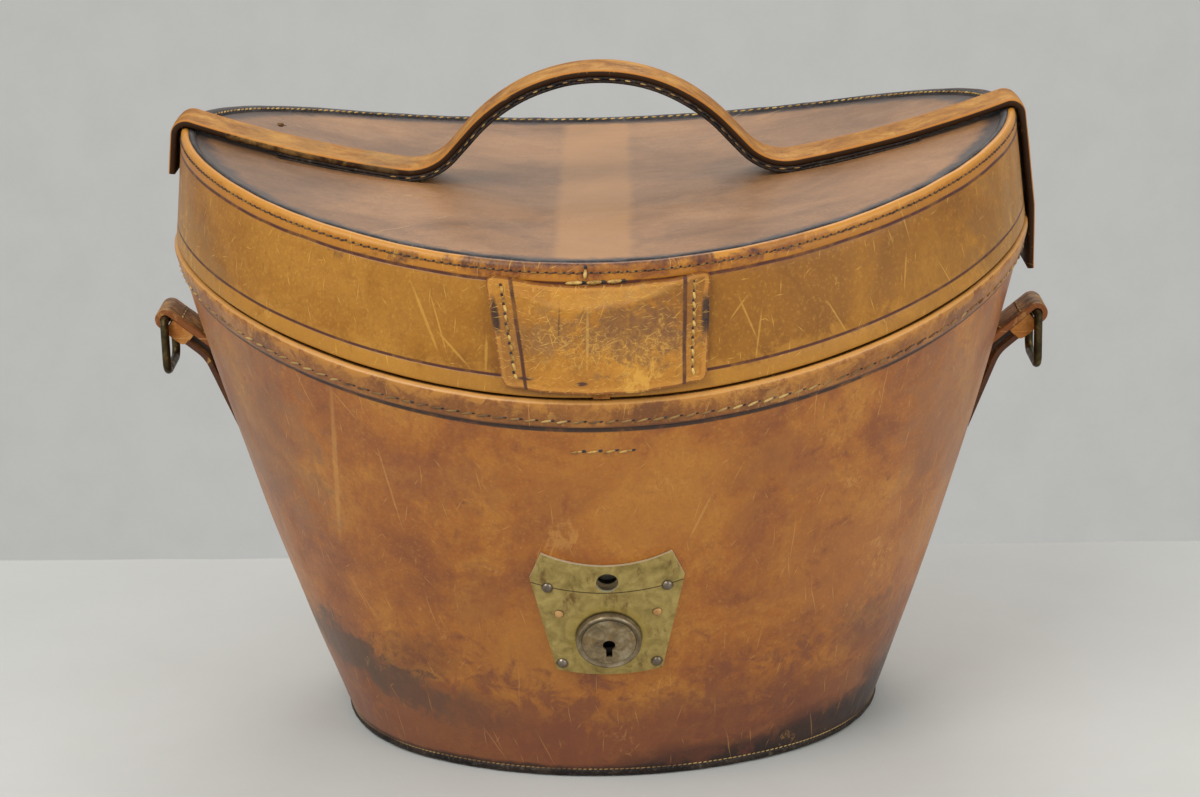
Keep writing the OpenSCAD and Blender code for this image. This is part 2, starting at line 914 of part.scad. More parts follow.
handle_start = [[arch_radius, -arch_angle], [arch_run], [dip_radius, arch_angle + lie_angle]];
to_the_edge = [[lid_saddle_radius, fold_angle - lie_angle], [fold_radius, lean_angle - 90 - fold_angle]];
under_angle = asin(grip_half_length / lid_saddle_radius) - lie_angle;

// The outline of a layer whose two halves run outward from the middle
module handle_layer(right_path, left_path, low, high) {
    function half(path, distance, side) = [for (p = over(path, distance)) [side * p[0], p[1]]];
    translate([0, 0, lid_top_height + handle_rise])
        rotate([90, 0, 0])
            linear_extrude(handle_width, center = true)
                polygon(concat(
                    reversed(half(left_path, low, -1)), half(right_path, low, 1),
                    reversed(half(right_path, high, 1)), half(left_path, high, -1)));
}

module handle_strap() {
    edge_path = concat(handle_start, to_the_edge);
    color([0.62, 0.37, 0.16])
        handle_layer(
            walk(concat(edge_path, [[right_run], [30, -lean_angle], [right_tail]])),
            walk(concat(edge_path, [[left_tail]])),
            0, handle_leather);
}

under_path = walk(concat(handle_start, [[lid_saddle_radius, under_angle]]));

module handle_filler() {
    color([0.16, 0.11, 0.08])
        handle_layer(under_path, under_path, -grip_filler, 0);
}

module handle_under_strap() {
    color([0.30, 0.18, 0.10])
        handle_layer(under_path, under_path, -panel_drop, -grip_filler);
}

base_board();
base_welt();
base_pad_lining();
body_shell();
body_lining();
body_rim_band();
rim_lining_band();
inner_lip();
hinge_body_leaf();
ring_strap_left();
ring_tail_left();
ring_filler_left();
ring_strap_right();
ring_tail_right();
ring_filler_right();
ring_left();
ring_right();
lock_plate();
lock_boss();
lock_case();
lock_cover();
lock_rivets();
lock_pins();
lock_plug();
lock_bolt();
lid_band();
lid_top();
lid_edge_welt();
lid_lining();
lid_top_lining();
front_tab();
seam_strip();
hinge_lid_leaf();
handle_strap();
handle_filler();
handle_under_strap();
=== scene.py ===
import bpy
import bmesh
from math import sin, cos, asin, acos, atan, atan2, sqrt, radians, pi
from mathutils import Vector, Matrix, noise


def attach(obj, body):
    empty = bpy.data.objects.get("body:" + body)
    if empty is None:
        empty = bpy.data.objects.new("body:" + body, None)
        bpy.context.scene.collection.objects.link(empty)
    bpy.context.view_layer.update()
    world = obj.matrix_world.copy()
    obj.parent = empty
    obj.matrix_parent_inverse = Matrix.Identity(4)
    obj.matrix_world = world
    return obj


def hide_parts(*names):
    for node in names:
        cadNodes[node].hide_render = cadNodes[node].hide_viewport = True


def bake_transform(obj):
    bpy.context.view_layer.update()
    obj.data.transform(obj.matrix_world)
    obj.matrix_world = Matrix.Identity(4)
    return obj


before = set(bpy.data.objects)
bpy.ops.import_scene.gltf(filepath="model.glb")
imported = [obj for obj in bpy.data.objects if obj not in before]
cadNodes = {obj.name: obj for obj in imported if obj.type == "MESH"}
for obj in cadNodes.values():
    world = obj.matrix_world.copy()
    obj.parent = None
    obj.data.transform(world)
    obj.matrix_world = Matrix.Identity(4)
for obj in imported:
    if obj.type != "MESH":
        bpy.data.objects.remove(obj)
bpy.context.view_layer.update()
mm = 0.001

# outline of the box, in millimetres, the same as the solid parts
boxShape = {
    "halfLength": 108.5, "halfWidth": 88.5,      # base oval
    "endShare": 28, "sideShare": 45, "shares": 20,     # centres of its arcs, in shares of half length less half width
    "spread": 60.5, "bulge": 3.6,                # wall from base to rim
    "rimZ": 169.0, "rimCurve": 430.0,            # saddle of the rim
    "lidHalfLength": 172.8, "lidHalfWidth": 140.7,
    "lidLean": 0.11, "lidZ": 218.0, "lidCurve": 480.0,
    "panelDrop": 1.1, "meanRadius": 155, "seamLength": 960,
}


def rise(x, radius):
    return radius - sqrt(radius * radius - x * x)


def rimHeight(x):
    return boxShape["rimZ"] + rise(x, boxShape["rimCurve"])


rimEndZ = rimHeight(boxShape["halfLength"] + boxShape["spread"])
wallFlare = sqrt(boxShape["spread"] ** 2 + rimEndZ ** 2) / rimEndZ
joinTurn = atan2(boxShape["sideShare"], boxShape["endShare"])      # where an end arc meets a side arc


def ovalArcs(halfLength, halfWidth):   # distances of the arcs' centres from the middle: end arcs, side arcs
    step = (halfLength - halfWidth) / boxShape["shares"]
    return boxShape["endShare"] * step, boxShape["sideShare"] * step


def ovalPoint(halfLength, halfWidth, grow, turn):
    endX, sideY = ovalArcs(halfLength, halfWidth)
    c, s = cos(turn), sin(turn)
    if abs(s) <= sin(joinTurn):
        radius = halfLength - endX + grow
        return (endX if c > 0 else -endX) + radius * c, radius * s
    radius = halfWidth + sideY + grow
    return radius * c, (-sideY if s > 0 else sideY) + radius * s


def sideTurn(halfLength, halfWidth, grow, x, side):      # turn of the point at x on the front (-1) or back (1)
    return side * acos(x / (halfWidth + ovalArcs(halfLength, halfWidth)[1] + grow))


def wallGrow(z):
    t = z / rimEndZ
    return boxShape["spread"] * t + 4 * boxShape["bulge"] * t * (1 - t)


def lidGrow(z, out):
    return out - boxShape["lidLean"] * (z - boxShape["rimZ"])


baseOval = boxShape["halfLength"], boxShape["halfWidth"]
lidOval = boxShape["lidHalfLength"], boxShape["lidHalfWidth"]


def wallAt(turn, z, out=0.0):
    return Vector((*ovalPoint(*baseOval, wallGrow(z) + out * wallFlare, turn), z))


def lidAt(turn, z, out=0.0):
    return Vector((*ovalPoint(*lidOval, lidGrow(z, out), turn), z))


def rimAt(turn, drop, out=0.0):        # on the wall, a distance below the rim
    z = boxShape["rimZ"] - drop
    for _ in range(10):
        z = rimHeight(wallAt(turn, z, out).x) - drop
    return wallAt(turn, z, out)


def lidLowAt(turn, lift, out=0.0):     # on the lid band, a distance above the rim
    z = boxShape["rimZ"] + lift
    for _ in range(10):
        z = rimHeight(lidAt(turn, z, out).x) + lift
    return lidAt(turn, z, out)


def lidEdgeZ(x, depth):
    r = boxShape["lidCurve"]
    return boxShape["lidZ"] + r - sqrt((r + depth) ** 2 - x * x)


def lidHighAt(turn, depth, out=0.0):   # on the lid band, a distance below its upper edge
    z = boxShape["lidZ"] - depth
    for _ in range(10):
        z = lidEdgeZ(lidAt(turn, z, out).x, depth)
    return lidAt(turn, z, out)


def evenTurns(count, grow=45.0):       # turns at even steps round the outside
    endX, sideY = ovalArcs(*baseOval)
    endRadius, sideRadius = baseOval[0] - endX + grow, baseOval[1] + sideY + grow
    quarter = endRadius * joinTurn + sideRadius * (pi / 2 - joinTurn)

    def inQuarter(run):
        if run < endRadius * joinTurn:
            return run / endRadius
        return joinTurn + (run - endRadius * joinTurn) / sideRadius

    turns = []
    for i in range(count):
        part, run = divmod(4 * quarter * i / count, quarter)
        if part % 2 == 0:
            turns.append(part * pi / 2 + inQuarter(run))
        else:
            turns.append((part + 1) * pi / 2 - inQuarter(quarter - run))
    return turns


def lidFront(x, lift, out, side=-1):
    z = rimHeight(x) + lift
    return lidAt(sideTurn(*lidOval, lidGrow(z, out), x, side), z, out)


def wallFront(x, z, out, side=-1):
    return wallAt(sideTurn(*baseOval, wallGrow(z) + out * wallFlare, x, side), z, out)


def uneven(point, size, amount):       # hand-made unevenness, in millimetres
    return amount * noise.noise(point / size)


def fromHex(text):                     # sRGB hex to linear
    values = [int(text[i:i + 2], 16) / 255 for i in (1, 3, 5)]
    return tuple(v / 12.92 if v <= 0.04045 else ((v + 0.055) / 1.055) ** 2.4 for v in values) + (1.0,)


# a material and its nodes; an input is a socket or a value, and sizes are in mm
class Surface:
    def __init__(self, name, **sockets):
        self.material = bpy.data.materials.new(name)
        self.material.use_nodes = True
        self.tree = self.material.node_tree
        self.shader = self.tree.nodes["Principled BSDF"]
        for key, value in sockets.items():
            self.shader.inputs[key.replace("_", " ")].default_value = value
        self.where = self.add("TexCoord")["Object"]

    def add(self, kind, inputs=None, **settings):      # makes a node and gives back its outputs
        node = self.tree.nodes.new("ShaderNode" + kind)
        for name, value in settings.items():
            setattr(node, name, value)
        for key, value in (inputs or {}).items():
            if isinstance(value, bpy.types.NodeSocket):
                self.tree.links.new(value, node.inputs[key])
            else:
                node.inputs[key].default_value = value
        return node.outputs

    def maths(self, operation, first, second=0.0):
        return self.add("Math", {0: first, 1: second}, operation=operation)[0]

    def plus(self, first, second):
        return self.maths("ADD", first, second)

    def minus(self, first, second):
        return self.maths("SUBTRACT", first, second)

    def times(self, first, second):
        return self.maths("MULTIPLY", first, second)

    def most(self, first, second):
        return self.maths("MAXIMUM", first, second)

    def vector(self, operation, first, second):
        return self.add("VectorMath", {0: first, 1: second}, operation=operation)

    def scaled(self, vector, amount):
        return self.add("VectorMath", {0: vector, "Scale": amount}, operation="SCALE")[0]

    def span(self, value, low, high, outLow=0.0, outHigh=1.0):
        return self.add("MapRange", {"Value": value, "From Min": low, "From Max": high,
                                     "To Min": outLow, "To Max": outHigh})[0]

    def tones(self, value, look, **places):            # colours of the look at places of the value
        tone = self.add("ValToRGB", {0: value})[0]
        elements = tone.node.color_ramp.elements
        elements.new(0.5)
        for element, (key, place) in zip(elements, places.items()):
            element.position = place
            element.color = fromHex(look[key])
        return tone

    def tint(self, colour, mask, toward):
        return self.add("Mix", {0: mask, 6: colour, 7: fromHex(toward)}, data_type="RGBA")[2]

    def cloud(self, vector, size, detail=4.0, rough=0.55, twist=0.0):
        return self.add("TexNoise", {"Vector": vector, "Scale": 1 / (size * mm), "Detail": detail,
                                     "Roughness": rough, "Distortion": twist})[0]

    def wave(self, pitch, twist, way):
        return self.add("TexWave", {"Vector": self.where, "Scale": 1 / (pitch * mm) / 6.28, "Distortion": twist},
                        bands_direction=way)[0]

    def mapped(self, place, turn, scale):              # the turn is in degrees in the front view
        return self.add("Mapping", {"Vector": self.where, "Location": place, "Rotation": (0, radians(turn), 0),
                                    "Scale": scale}, vector_type="TEXTURE")[0]

    def stretched(self, turn, length):
        return self.mapped((0, 0, 0), turn, (1, 1, length))

    def kept(self, key):                               # a distance kept on the mesh
        return self.add("Attribute", attribute_name=key)["Fac"]

    def shaken(self, value, cloud, amount):            # gives a soft border ragged edges
        return self.plus(value, self.times(self.minus(cloud, 0.5), amount))

    def line(self, key, place, half, soft):
        away = self.maths("ABSOLUTE", self.minus(self.kept(key), place))
        return self.span(away, half, half * soft)

    def patch(self, centre, size, turn, cloud, ragged):
        local = self.mapped([c * mm for c in centre], turn, [v * mm for v in size])
        reach = self.add("VectorMath", {0: local}, operation="LENGTH")["Value"]
        return self.span(self.shaken(reach, cloud, ragged), 1.15, 0.6)

    def flat(self):                                    # distance round the box and height, a little bent
        x, y, z = self.add("SeparateXYZ", {0: self.where})
        turn = self.maths("ARCTAN2", x, self.times(y, -1.0))
        around = self.times(turn, boxShape["meanRadius"] * mm)
        bend = self.add("TexNoise", {"Vector": self.where, "Scale": 60.0, "Detail": 1.0})["Color"]
        flat = self.add("CombineXYZ", {0: around, 1: z})[0]
        return self.vector("ADD", flat, self.scaled(bend, 3 * mm))[0]

    def scratch(self, flat, size, length, width, share, turn, spread, seed):
        # in a share of the cells of this size one tapering scratch
        moved = self.vector("ADD", flat, (seed, seed * 0.7, 0))[0]
        cell = self.add("TexVoronoi", {"Vector": moved, "Scale": 1 / (size * mm)}, voronoi_dimensions="2D")
        local = self.vector("SUBTRACT", moved, cell["Position"])[0]
        chance = self.add("SeparateColor", {0: cell["Color"]})
        angle = self.span(chance[0], 0, 1, radians(turn - spread), radians(turn + spread))
        turned = self.add("VectorRotate", {"Vector": local, "Angle": angle}, rotation_type="Z_AXIS")[0]
        x, y, z = self.add("SeparateXYZ", {0: turned})
        across = self.times(self.maths("ABSOLUTE", x), 2 / (width * mm))
        along = self.times(self.maths("ABSOLUTE", y), 2 / (length * mm))
        stroke = self.span(self.plus(across, along), 1.1, 0.6)
        return self.times(stroke, self.maths("LESS_THAN", chance[1], share))

    def done(self, colour, height, strength, depth, rough=None):
        bump = self.add("Bump", {"Height": height, "Strength": strength, "Distance": depth * mm})[0]
        for key, value in (("Base Color", colour), ("Roughness", rough), ("Normal", bump)):
            if value is not None:
                self.tree.links.new(value, self.shader.inputs[key])
        return self.material


leatherBase = {"shine": 0.4, "cloudSize": 45, "grainTurn": 0, "stain": 0.5, "rub": 0.4, "speckle": 0.3,
    "mottle": 0.35, "raggedSize": 12, "flakes": 0.68, "scratchAmount": 0.5, "grain": 0, "lineColour": "#35190f",
    "bump": 0.35, "dull": 0.56, "gloss": 0.38, "reach": [], "patches": [], "scratches": [], "crackle": [],
    "scars": [], "lines": []}


def leather(name, look, **more):
    # vegetable-tanned cowhide, waxed and handled: soft gloss, cloudy tone, fine scratches that show paler leather
    look = {**leatherBase, **look, **more}
    s = Surface(name, IOR=1.47, Specular_IOR_Level=look["shine"])
    where = s.where
    colour = s.tones(s.cloud(where, look["cloudSize"], 7.0, 0.66, 0.5), look, deep=0.36, base=0.5, light=0.64)
    streaks = s.cloud(s.stretched(look["grainTurn"], 3.2), 14, 6.0, 0.65, 0.3)
    specks = s.cloud(where, 3.2, 8.0, 0.75)
    flakes = s.cloud(s.stretched(8, 1.7), 3.0, 7.0, 0.8, 0.3)
    stipple = s.cloud(where, 1.3, 4.0, 0.7)
    ragged = s.cloud(where, look["raggedSize"], 8.0, 0.72, 0.5)
    for cloud, low, high, amount, toward in (
            (streaks, 0.44, 0.28, look["stain"], "deep"), (streaks, 0.55, 0.70, look["rub"], "light"),
            (specks, 0.52, 0.70, look["speckle"], "deep"), (flakes, 0.50, 0.34, look["mottle"], "deep"),
            (stipple, 0.48, 0.30, 0.3, "deep"), (stipple, 0.54, 0.70, 0.3, "scratch")):
        colour = s.tint(colour, s.span(cloud, low, high, 0, amount), look[toward])
    for key, start, end, toward, amount, rough in look["reach"]:      # darker or paler towards an edge
        fade = s.shaken(s.span(s.kept(key), start, end), ragged, rough)
        colour = s.tint(colour, s.span(fade, 0.3, 0.7, 0, amount), toward)
    for centre, size, turn, toward, amount, *rough in look["patches"]:
        mask = s.patch(centre, size, turn, ragged, *(rough or [4.2]))
        least = amount * (0.55 if amount < 1 else 0.85)
        colour = s.tint(colour, s.times(mask, s.span(flakes, 0.36, 0.56, amount, least)), toward)
    clusters = s.minus(s.cloud(where, 30, 4.0, 0.6), 0.5)
    marks = s.span(s.plus(flakes, clusters), look["flakes"], look["flakes"] + 0.05, 0, 0.8)
    if look["scratches"] or look["crackle"]:
        flat = s.flat()
    for strokes in look["scratches"]:
        marks = s.most(marks, s.scratch(flat, *strokes))
    if look["crackle"]:
        torn = s.add("TexNoise", {"Vector": where, "Scale": 400.0, "Detail": 4.0})["Color"]
        bent = s.vector("MULTIPLY", s.vector("ADD", flat, s.scaled(torn, 5 * mm))[0], (0.5, 1, 1))[0]
    for size, centre, reach in look["crackle"]:        # a net of cracks where the leather was folded
        cells = s.add("TexVoronoi", {"Vector": bent, "Scale": 1 / (size * mm)}, feature="DISTANCE_TO_EDGE",
                      voronoi_dimensions="2D")["Distance"]
        net = s.times(s.span(cells, 0.10, 0.02), s.span(flakes, 0.42, 0.56))
        marks = s.most(marks, s.times(net, s.patch(centre, reach, 0, ragged, 3.0)))
    for centre, size, turn in look["scars"]:
        marks = s.most(marks, s.times(s.patch(centre, size, turn, specks, 1.1), 0.8))
    colour = s.tint(colour, s.times(marks, look["scratchAmount"]), look["scratch"])
    height = s.times(specks, 0.9)
    if look["grain"]:
        pores = s.add("TexVoronoi", {"Vector": where, "Scale": 1 / (look["grain"] * mm)})["Distance"]
        height = s.plus(height, s.times(pores, 0.5))
    height = s.minus(height, s.times(marks, 0.35))
    darkLines = None
    for place in look["lines"]:                        # tooled lines, burnt dark; on the body wall the line is painted shadow under the rim binding's edge
        line = s.line(*place, 0.55)
        darkLines = line if darkLines is None else s.most(darkLines, line)
    if darkLines is not None:
        patchy = s.span(s.cloud(where, 9, 5.0, 0.65), 0.30, 0.50, 0.45, 0.95)
        colour = s.tint(colour, s.times(darkLines, patchy), look["lineColour"])
        height = s.minus(height, s.times(darkLines, 1.6))
    return s.done(colour, height, look["bump"], 0.3, s.span(streaks, 0.3, 0.7, look["dull"], look["gloss"]))


metalBase = {"metallic": 1.0, "cloudSize": 6, "brushTurn": 90, "brushed": 0.4, "stain": 0.0, "stainColour": "#674522",
             "lines": [], "rings": [], "pit": None}


def metal(name, dirt, base, bare, **look):
    # old metal: bare where it is rubbed, dull brown where dirt stays
    look = {**metalBase, "dirt": dirt, "base": base, "bare": bare, **look}
    s = Surface(name, Metallic=look["metallic"])
    clouds = s.cloud(s.where, look["cloudSize"], 6.0, 0.65, 0.5)
    colour = s.tones(clouds, look, dirt=0.3, base=0.52, bare=0.72)
    brushed = s.cloud(s.stretched(look["brushTurn"], 14), 0.5, 2.0, 0.5)
    rough = s.plus(s.span(clouds, 0.3, 0.7, look["dull"], look["gloss"]), s.times(brushed, 0.08))
    height = s.plus(clouds, s.times(brushed, look["brushed"]))
    for place in look["lines"]:                        # engraved
        line = s.line(*place, 0.4)
        colour = s.tint(colour, s.times(line, 0.9), "#2a2415")
        height = s.minus(height, s.times(line, 2.0))
    stains = s.cloud(s.stretched(0, 3.0), 5, 5.0, 0.7)
    colour = s.tint(colour, s.span(stains, 0.54, 0.68, 0, look["stain"]), look["stainColour"])
    for centre, radius, width, toward, amount in look["rings"]:       # dark rings of dirt and painted shade round the studs and the boss, and a paler ring round the boss that is a painted highlight
        away = s.shaken(s.vector("DISTANCE", s.where, centre * mm)["Value"], clouds, width * mm)
        colour = s.tint(colour, s.span(away, (radius + width) * mm, radius * mm, 0, amount), toward)
    if look["pit"]:                                    # painted shade: darker with the depth below the lock's face, so that the keyhole reads dark
        origin, normal, start, end = look["pit"]
        local = s.vector("SUBTRACT", s.where, origin * mm)[0]
        level = s.vector("DOT_PRODUCT", local, normal)["Value"]
        colour = s.tint(colour, s.span(level, start * mm, end * mm), "#0c0906")
    return s.done(colour, height, 0.15, 0.2, rough)


def cloth(name, look):
    # plain-woven cotton lining, 0.5 mm threads drawn at 1.2 mm so that they show
    s = Surface(name, Roughness=0.9, Sheen_Weight=0.2)
    weave = s.most(s.wave(1.2, 0.3, "Z"), s.wave(1.2, 0.3, "DIAGONAL"))
    colour = s.tones(s.cloud(s.where, 45, 5.0, 0.6), look, deep=0.3, base=0.5, light=0.72)
    return s.done(s.tint(colour, s.span(weave, 0.0, 1.0, 0.28, 0.0), look["deep"]), weave, 0.35, 0.3)


def thread(name, dirt, base, clean, cloudSize=4):
    # waxed linen thread: yellowed where it is clean, brown where wax and dirt stay, with a fine twist
    s = Surface(name, Roughness=0.6)
    look = {"dirt": dirt, "base": base, "clean": clean}
    colour = s.tones(s.cloud(s.where, cloudSize, 3.0, 0.6), look, dirt=0.35, base=0.5, clean=0.65)
    return s.done(colour, s.wave(0.5, 1.0, "DIAGONAL"), 0.5, 0.15)


# patches: centre, size, turn, colour, amount, raggedness; scars: centre, size, turn
# reach: distance, from, to, colour, amount, raggedness
# scratches: cell, length, width, share of cells, turn, spread of turns, place in the noise
bodyLook = {"deep": "#8b4e26", "base": "#a96524", "light": "#bc7c2e", "scratch": "#d09a50", "shine": 0.5,
    "cloudSize": 40, "stain": 0.35, "rub": 0.35, "speckle": 0.5, "mottle": 0.5, "gloss": 0.3, "dull": 0.46,
    "flakes": 0.71, "scratchAmount": 0.45,
    "reach": [("fromBase", 70, 6, "#77432c", 0.72, 3.4), ("fromBase", 7, 3, "#2a1a14", 0.85, 1.0)],
    # this dark line just below the rim binding is painted shadow under the binding's edge
    "lines": [("drop", 12.2, 1.0)], "lineColour": "#2b1f1d",
    "patches": [
        ((-104, -50, 44), (20, 60, 12), 25, "#5a3f2f", 1.0), ((-82, -66, 35), (26, 50, 11), 18, "#5e4230", 1.0),
        ((-56, -83, 27), (28, 40, 10), 8, "#6b4530", 0.8), ((-75, -78, 52), (18, 40, 10), 0, "#5b3626", 0.6),
        ((40, -92, 2), (42, 70, 12), 2, "#281814", 1.0, 1.5), ((82, -76, 7), (40, 70, 14), -6, "#281814", 1.0, 1.5),
        ((114, -56, 17), (30, 60, 14), -28, "#2c1a15", 1.0, 1.8),
        ((112, -60, 32), (16, 60, 10), -28, "#4f3024", 0.7), ((56, -88, 26), (44, 50, 15), 0, "#6b3828", 0.6),
        ((102, -60, 54), (17, 50, 14), 0, "#5e382a", 0.7), ((0, -95, 18), (60, 50, 14), 0, "#7c4228", 0.5),
        ((-62, -119, 133), (24, 40, 13), 10, "#844a2e", 0.6), ((-49, -109, 83), (12, 40, 16), 20, "#7a452c", 0.5),
        ((59, -113, 106), (14, 40, 26), 12, "#8c502e", 0.4), ((73, -116, 136), (13, 40, 14), 0, "#80472f", 0.55),
        # the greyish patches at the two ends, x -138 and 136, are painted sheen
        ((-138, -80, 140), (30, 60, 50), -20, "#86603f", 0.65), ((136, -74, 140), (24, 60, 44), 0, "#875f40", 0.55),
        ((20, -130, 130), (60, 40, 22), 0, "#b2742e", 0.5), ((-30, -108, 62), (30, 40, 26), 0, "#b0732e", 0.55),
        ((84, -90, 88), (26, 40, 30), 0, "#ab6e36", 0.5)],
    "scars": [
        ((-101, -100, 133), (1.1, 30, 40), 2), ((-22, -118, 100), (0.5, 30, 17), 18),
        ((-80, -112, 128), (0.4, 30, 20), -12), ((35, -122, 118), (0.6, 30, 11), 25)],
    "scratches": [
        (15, 13, 0.55, 0.2, 0, 25, 0.3), (9, 6, 0.5, 0.2, 10, 60, 1.7), (30, 26, 0.6, 0.2, -15, 30, 2.9)]}

rimLook = dict(bodyLook, base="#965b26", light="#b07430", deep="#784822", patches=[], scars=[], cloudSize=22,
    raggedSize=8,
    reach=[
        # the pale band within 1.9 mm of the top is a painted highlight on the rolled edge; the dark band within 0.4
        # mm is painted shadow in the gap under the lid
        ("drop", 7.5, -1.5, "#c28536", 0.65, 4.0), ("drop", 1.9, 1.2, "#d8a058", 0.6, 1.5),
        ("drop", 0.4, 0.1, "#2a150c", 0.8, 0.3), ("drop", 9.5, 11.5, "#6d4126", 0.75, 1.0)],
    lines=[("drop", 11.4, 0.5)], gloss=0.26, dull=0.42, flakes=0.64, scratchAmount=0.5)

lidLook = {"deep": "#875415", "base": "#a06819", "light": "#b07827", "scratch": "#dba748", "cloudSize": 60,
    "stain": 0.35, "rub": 0.3, "speckle": 0.3, "gloss": 0.3, "dull": 0.46, "flakes": 0.68, "raggedSize": 9,
    "reach": [
        ("fromEdge", 7.6, 6.2, "#b87626", 0.7, 0.6), ("fromEdge", 3.2, 0.6, "#cc8c36", 0.8, 2.2),
        # the dark band within 1.2 mm of the gap is painted shadow along the band's lower edge
        ("fromGap", 14.0, 3.0, "#bd8430", 0.55, 3.2), ("fromGap", 1.2, 0.4, "#3a1c0e", 0.85, 0.3),
        ("farEdge", 3.4, 2.2, "#221a1a", 0.95, 0.6)],
    "lines": [("fromEdge", 7.0, 0.8), ("fromGap", 7.6, 0.7)], "lineColour": "#4a211c",
    "patches": [
        # this first patch, under the front tab, is painted shadow cast by the tab
        ((0, -137, 174.0), (37, 60, 3.6), 0, "#7b4826", 0.85, 1.0),
        ((0, -130, 217), (48, 60, 4.6), 0, "#6a3220", 0.9), ((60, -128, 220), (20, 60, 2.5), -10, "#743c22", 0.7),
        # the greyish patches at the two ends, x -160 and 156, are painted sheen
        ((-10, -130, 219), (62, 60, 2.0), 0, "#38242a", 0.75), ((-160, -60, 205), (20, 60, 20), 0, "#977240", 0.5),
        ((156, -60, 205), (18, 60, 24), 0, "#8c6534", 0.6), ((120, -96, 202), (26, 60, 24), 0, "#8b5d24", 0.5)],
    "scars": [
        ((-63, -128, 198), (0.6, 30, 14), -20), ((-53, -131, 187), (0.5, 30, 9), -42),
        ((-58, -130, 196), (0.35, 30, 12), -14), ((-41, -132, 186), (0.6, 30, 7), 3),
        ((112, -106, 205), (0.35, 30, 7), 4), ((53, -134, 196), (0.4, 30, 9), -22),
        ((50, -134, 200), (0.35, 30, 6), 38), ((57, -133, 190), (0.4, 30, 10), 8),
        ((86, -122, 192), (0.35, 30, 9), -30)],
    "scratches": [
        (11, 8, 0.5, 0.3, 0, 18, 0.9), (7, 4.5, 0.45, 0.22, 20, 70, 2.2), (26, 22, 0.6, 0.16, -25, 25, 4.1)],
    "scratchAmount": 0.5}

panelLook = {"deep": "#7e5838", "base": "#9a6e48", "light": "#ad7d52", "scratch": "#d0a470", "cloudSize": 55,
    "grainTurn": 90, "stain": 0.3, "rub": 0.35, "speckle": 0.2, "gloss": 0.26, "dull": 0.4, "flakes": 0.86,
    "reach": [("stripe", 18.0, 10.0, "#bd8852", 0.6, 0.8), ("fromSide", 12.0, 1.0, "#3a3638", 0.9, 1.2)],
    "patches": [((-128, -10, 235), (44, 90, 60), 0, "#5e4636", 0.5, 1.5)],
    "scratches": [(14, 9, 0.5, 0.1, 80, 50, 3.3), (13, 1.6, 0.9, 0.22, 80, 60, 5.2)], "scratchAmount": 0.5}

strapLook = dict(lidLook, deep="#7d4a1e", base="#a4672a", light="#bd8038", scratch="#d8a860", reach=[], lines=[],
    scars=[], cloudSize=24, patches=[], grainTurn=90, shine=0.15, gloss=0.5, dull=0.65)
darkLook = {"deep": "#1a1617", "base": "#2b2628", "light": "#454244", "scratch": "#8a7a64", "shine": 0.4,
    "cloudSize": 14, "speckle": 0.3, "rub": 0.4, "gloss": 0.45, "dull": 0.62, "flakes": 0.68, "bump": 0.7}
handleLook = dict(strapLook, deep="#855320", base="#ae752e", light="#cb9446", mottle=0.5, speckle=0.5, cloudSize=18,
    patches=[
        ((-120, 0, 242), (24, 30, 14), 0, "#c09250", 0.5), ((-84, 0, 232), (10, 30, 10), 0, "#8a7048", 0.5)],
    # the orange band along the strap's top edges is a painted highlight
    reach=[("edge", 3.5, 0.8, "#ba7830", 0.8, 1.6), ("depth", 0.3, 0.6, "#1d130f", 0.95, 0.4)],
    scratches=[(9, 7, 0.5, 0.25, 80, 30, 1.1)])

tabLook = dict(lidLook, base="#b07426", light="#c6892f", deep="#8b571b", grain=0.9, bump=0.55, scars=[], flakes=0.66,
    raggedSize=7, reach=[("edge", 2.6, 1.2, "#c58637", 0.6, 2.0), ("edge", 0.9, 0.2, "#7a4417", 0.8, 0.8)],
    patches=[
        ((-20, -137, 193), (10, 40, 10), 0, "#8c6338", 0.85), ((11, -137, 194), (21, 40, 12), -8, "#7d5633", 0.95),
        ((16, -137, 198), (15, 40, 7), -12, "#774e2e", 0.7),
        ((-14.5, -137, 197), (0.4, 40, 8), 3, "#4a2f20", 0.8, 0.8),
        ((6, -137, 207), (26, 40, 3), -7, "#cf9a4a", 0.5, 2.0), ((-33, -137, 190), (5, 40, 20), -6, "#9a6a34", 0.5),
        ((-4.5, -137, 192), (0.55, 40, 13), 2, "#d0a04c", 0.6, 1.0),
        ((-37.2, -137, 200), (1.5, 40, 7.5), -7, "#261c1e", 1.0, 0.8),
        ((38.0, -137, 199), (1.8, 40, 8.5), 3, "#261d20", 1.0, 0.8),
        ((-26.4, -137, 214.6), (2.2, 40, 1.0), 8, "#2a1a22", 1.0, 0.6),
        ((-31.5, -137, 214.8), (1.2, 40, 1.0), 0, "#2a1a22", 1.0, 0.6),
        ((-27, -137, 177.8), (3.0, 40, 0.8), 0, "#3a2226", 1.0, 0.6),
        ((-6.8, -137, 176.0), (2.2, 40, 0.8), 0, "#3a2226", 1.0, 0.6)],
    lines=[("sideIn", 29.4, 0.85)], lineColour="#4c2a1f",
    scratches=[
        (9, 8, 0.45, 0.4, 30, 60, 5.5), (3.6, 4.6, 0.32, 0.55, 78, 30, 7.1), (2.9, 3.2, 0.28, 0.55, 100, 45, 2.3)],
    crackle=[(1.9, (10, -137, 188), (24, 40, 8)), (2.6, (-14, -137, 190), (16, 40, 9))], scratchAmount=0.6)

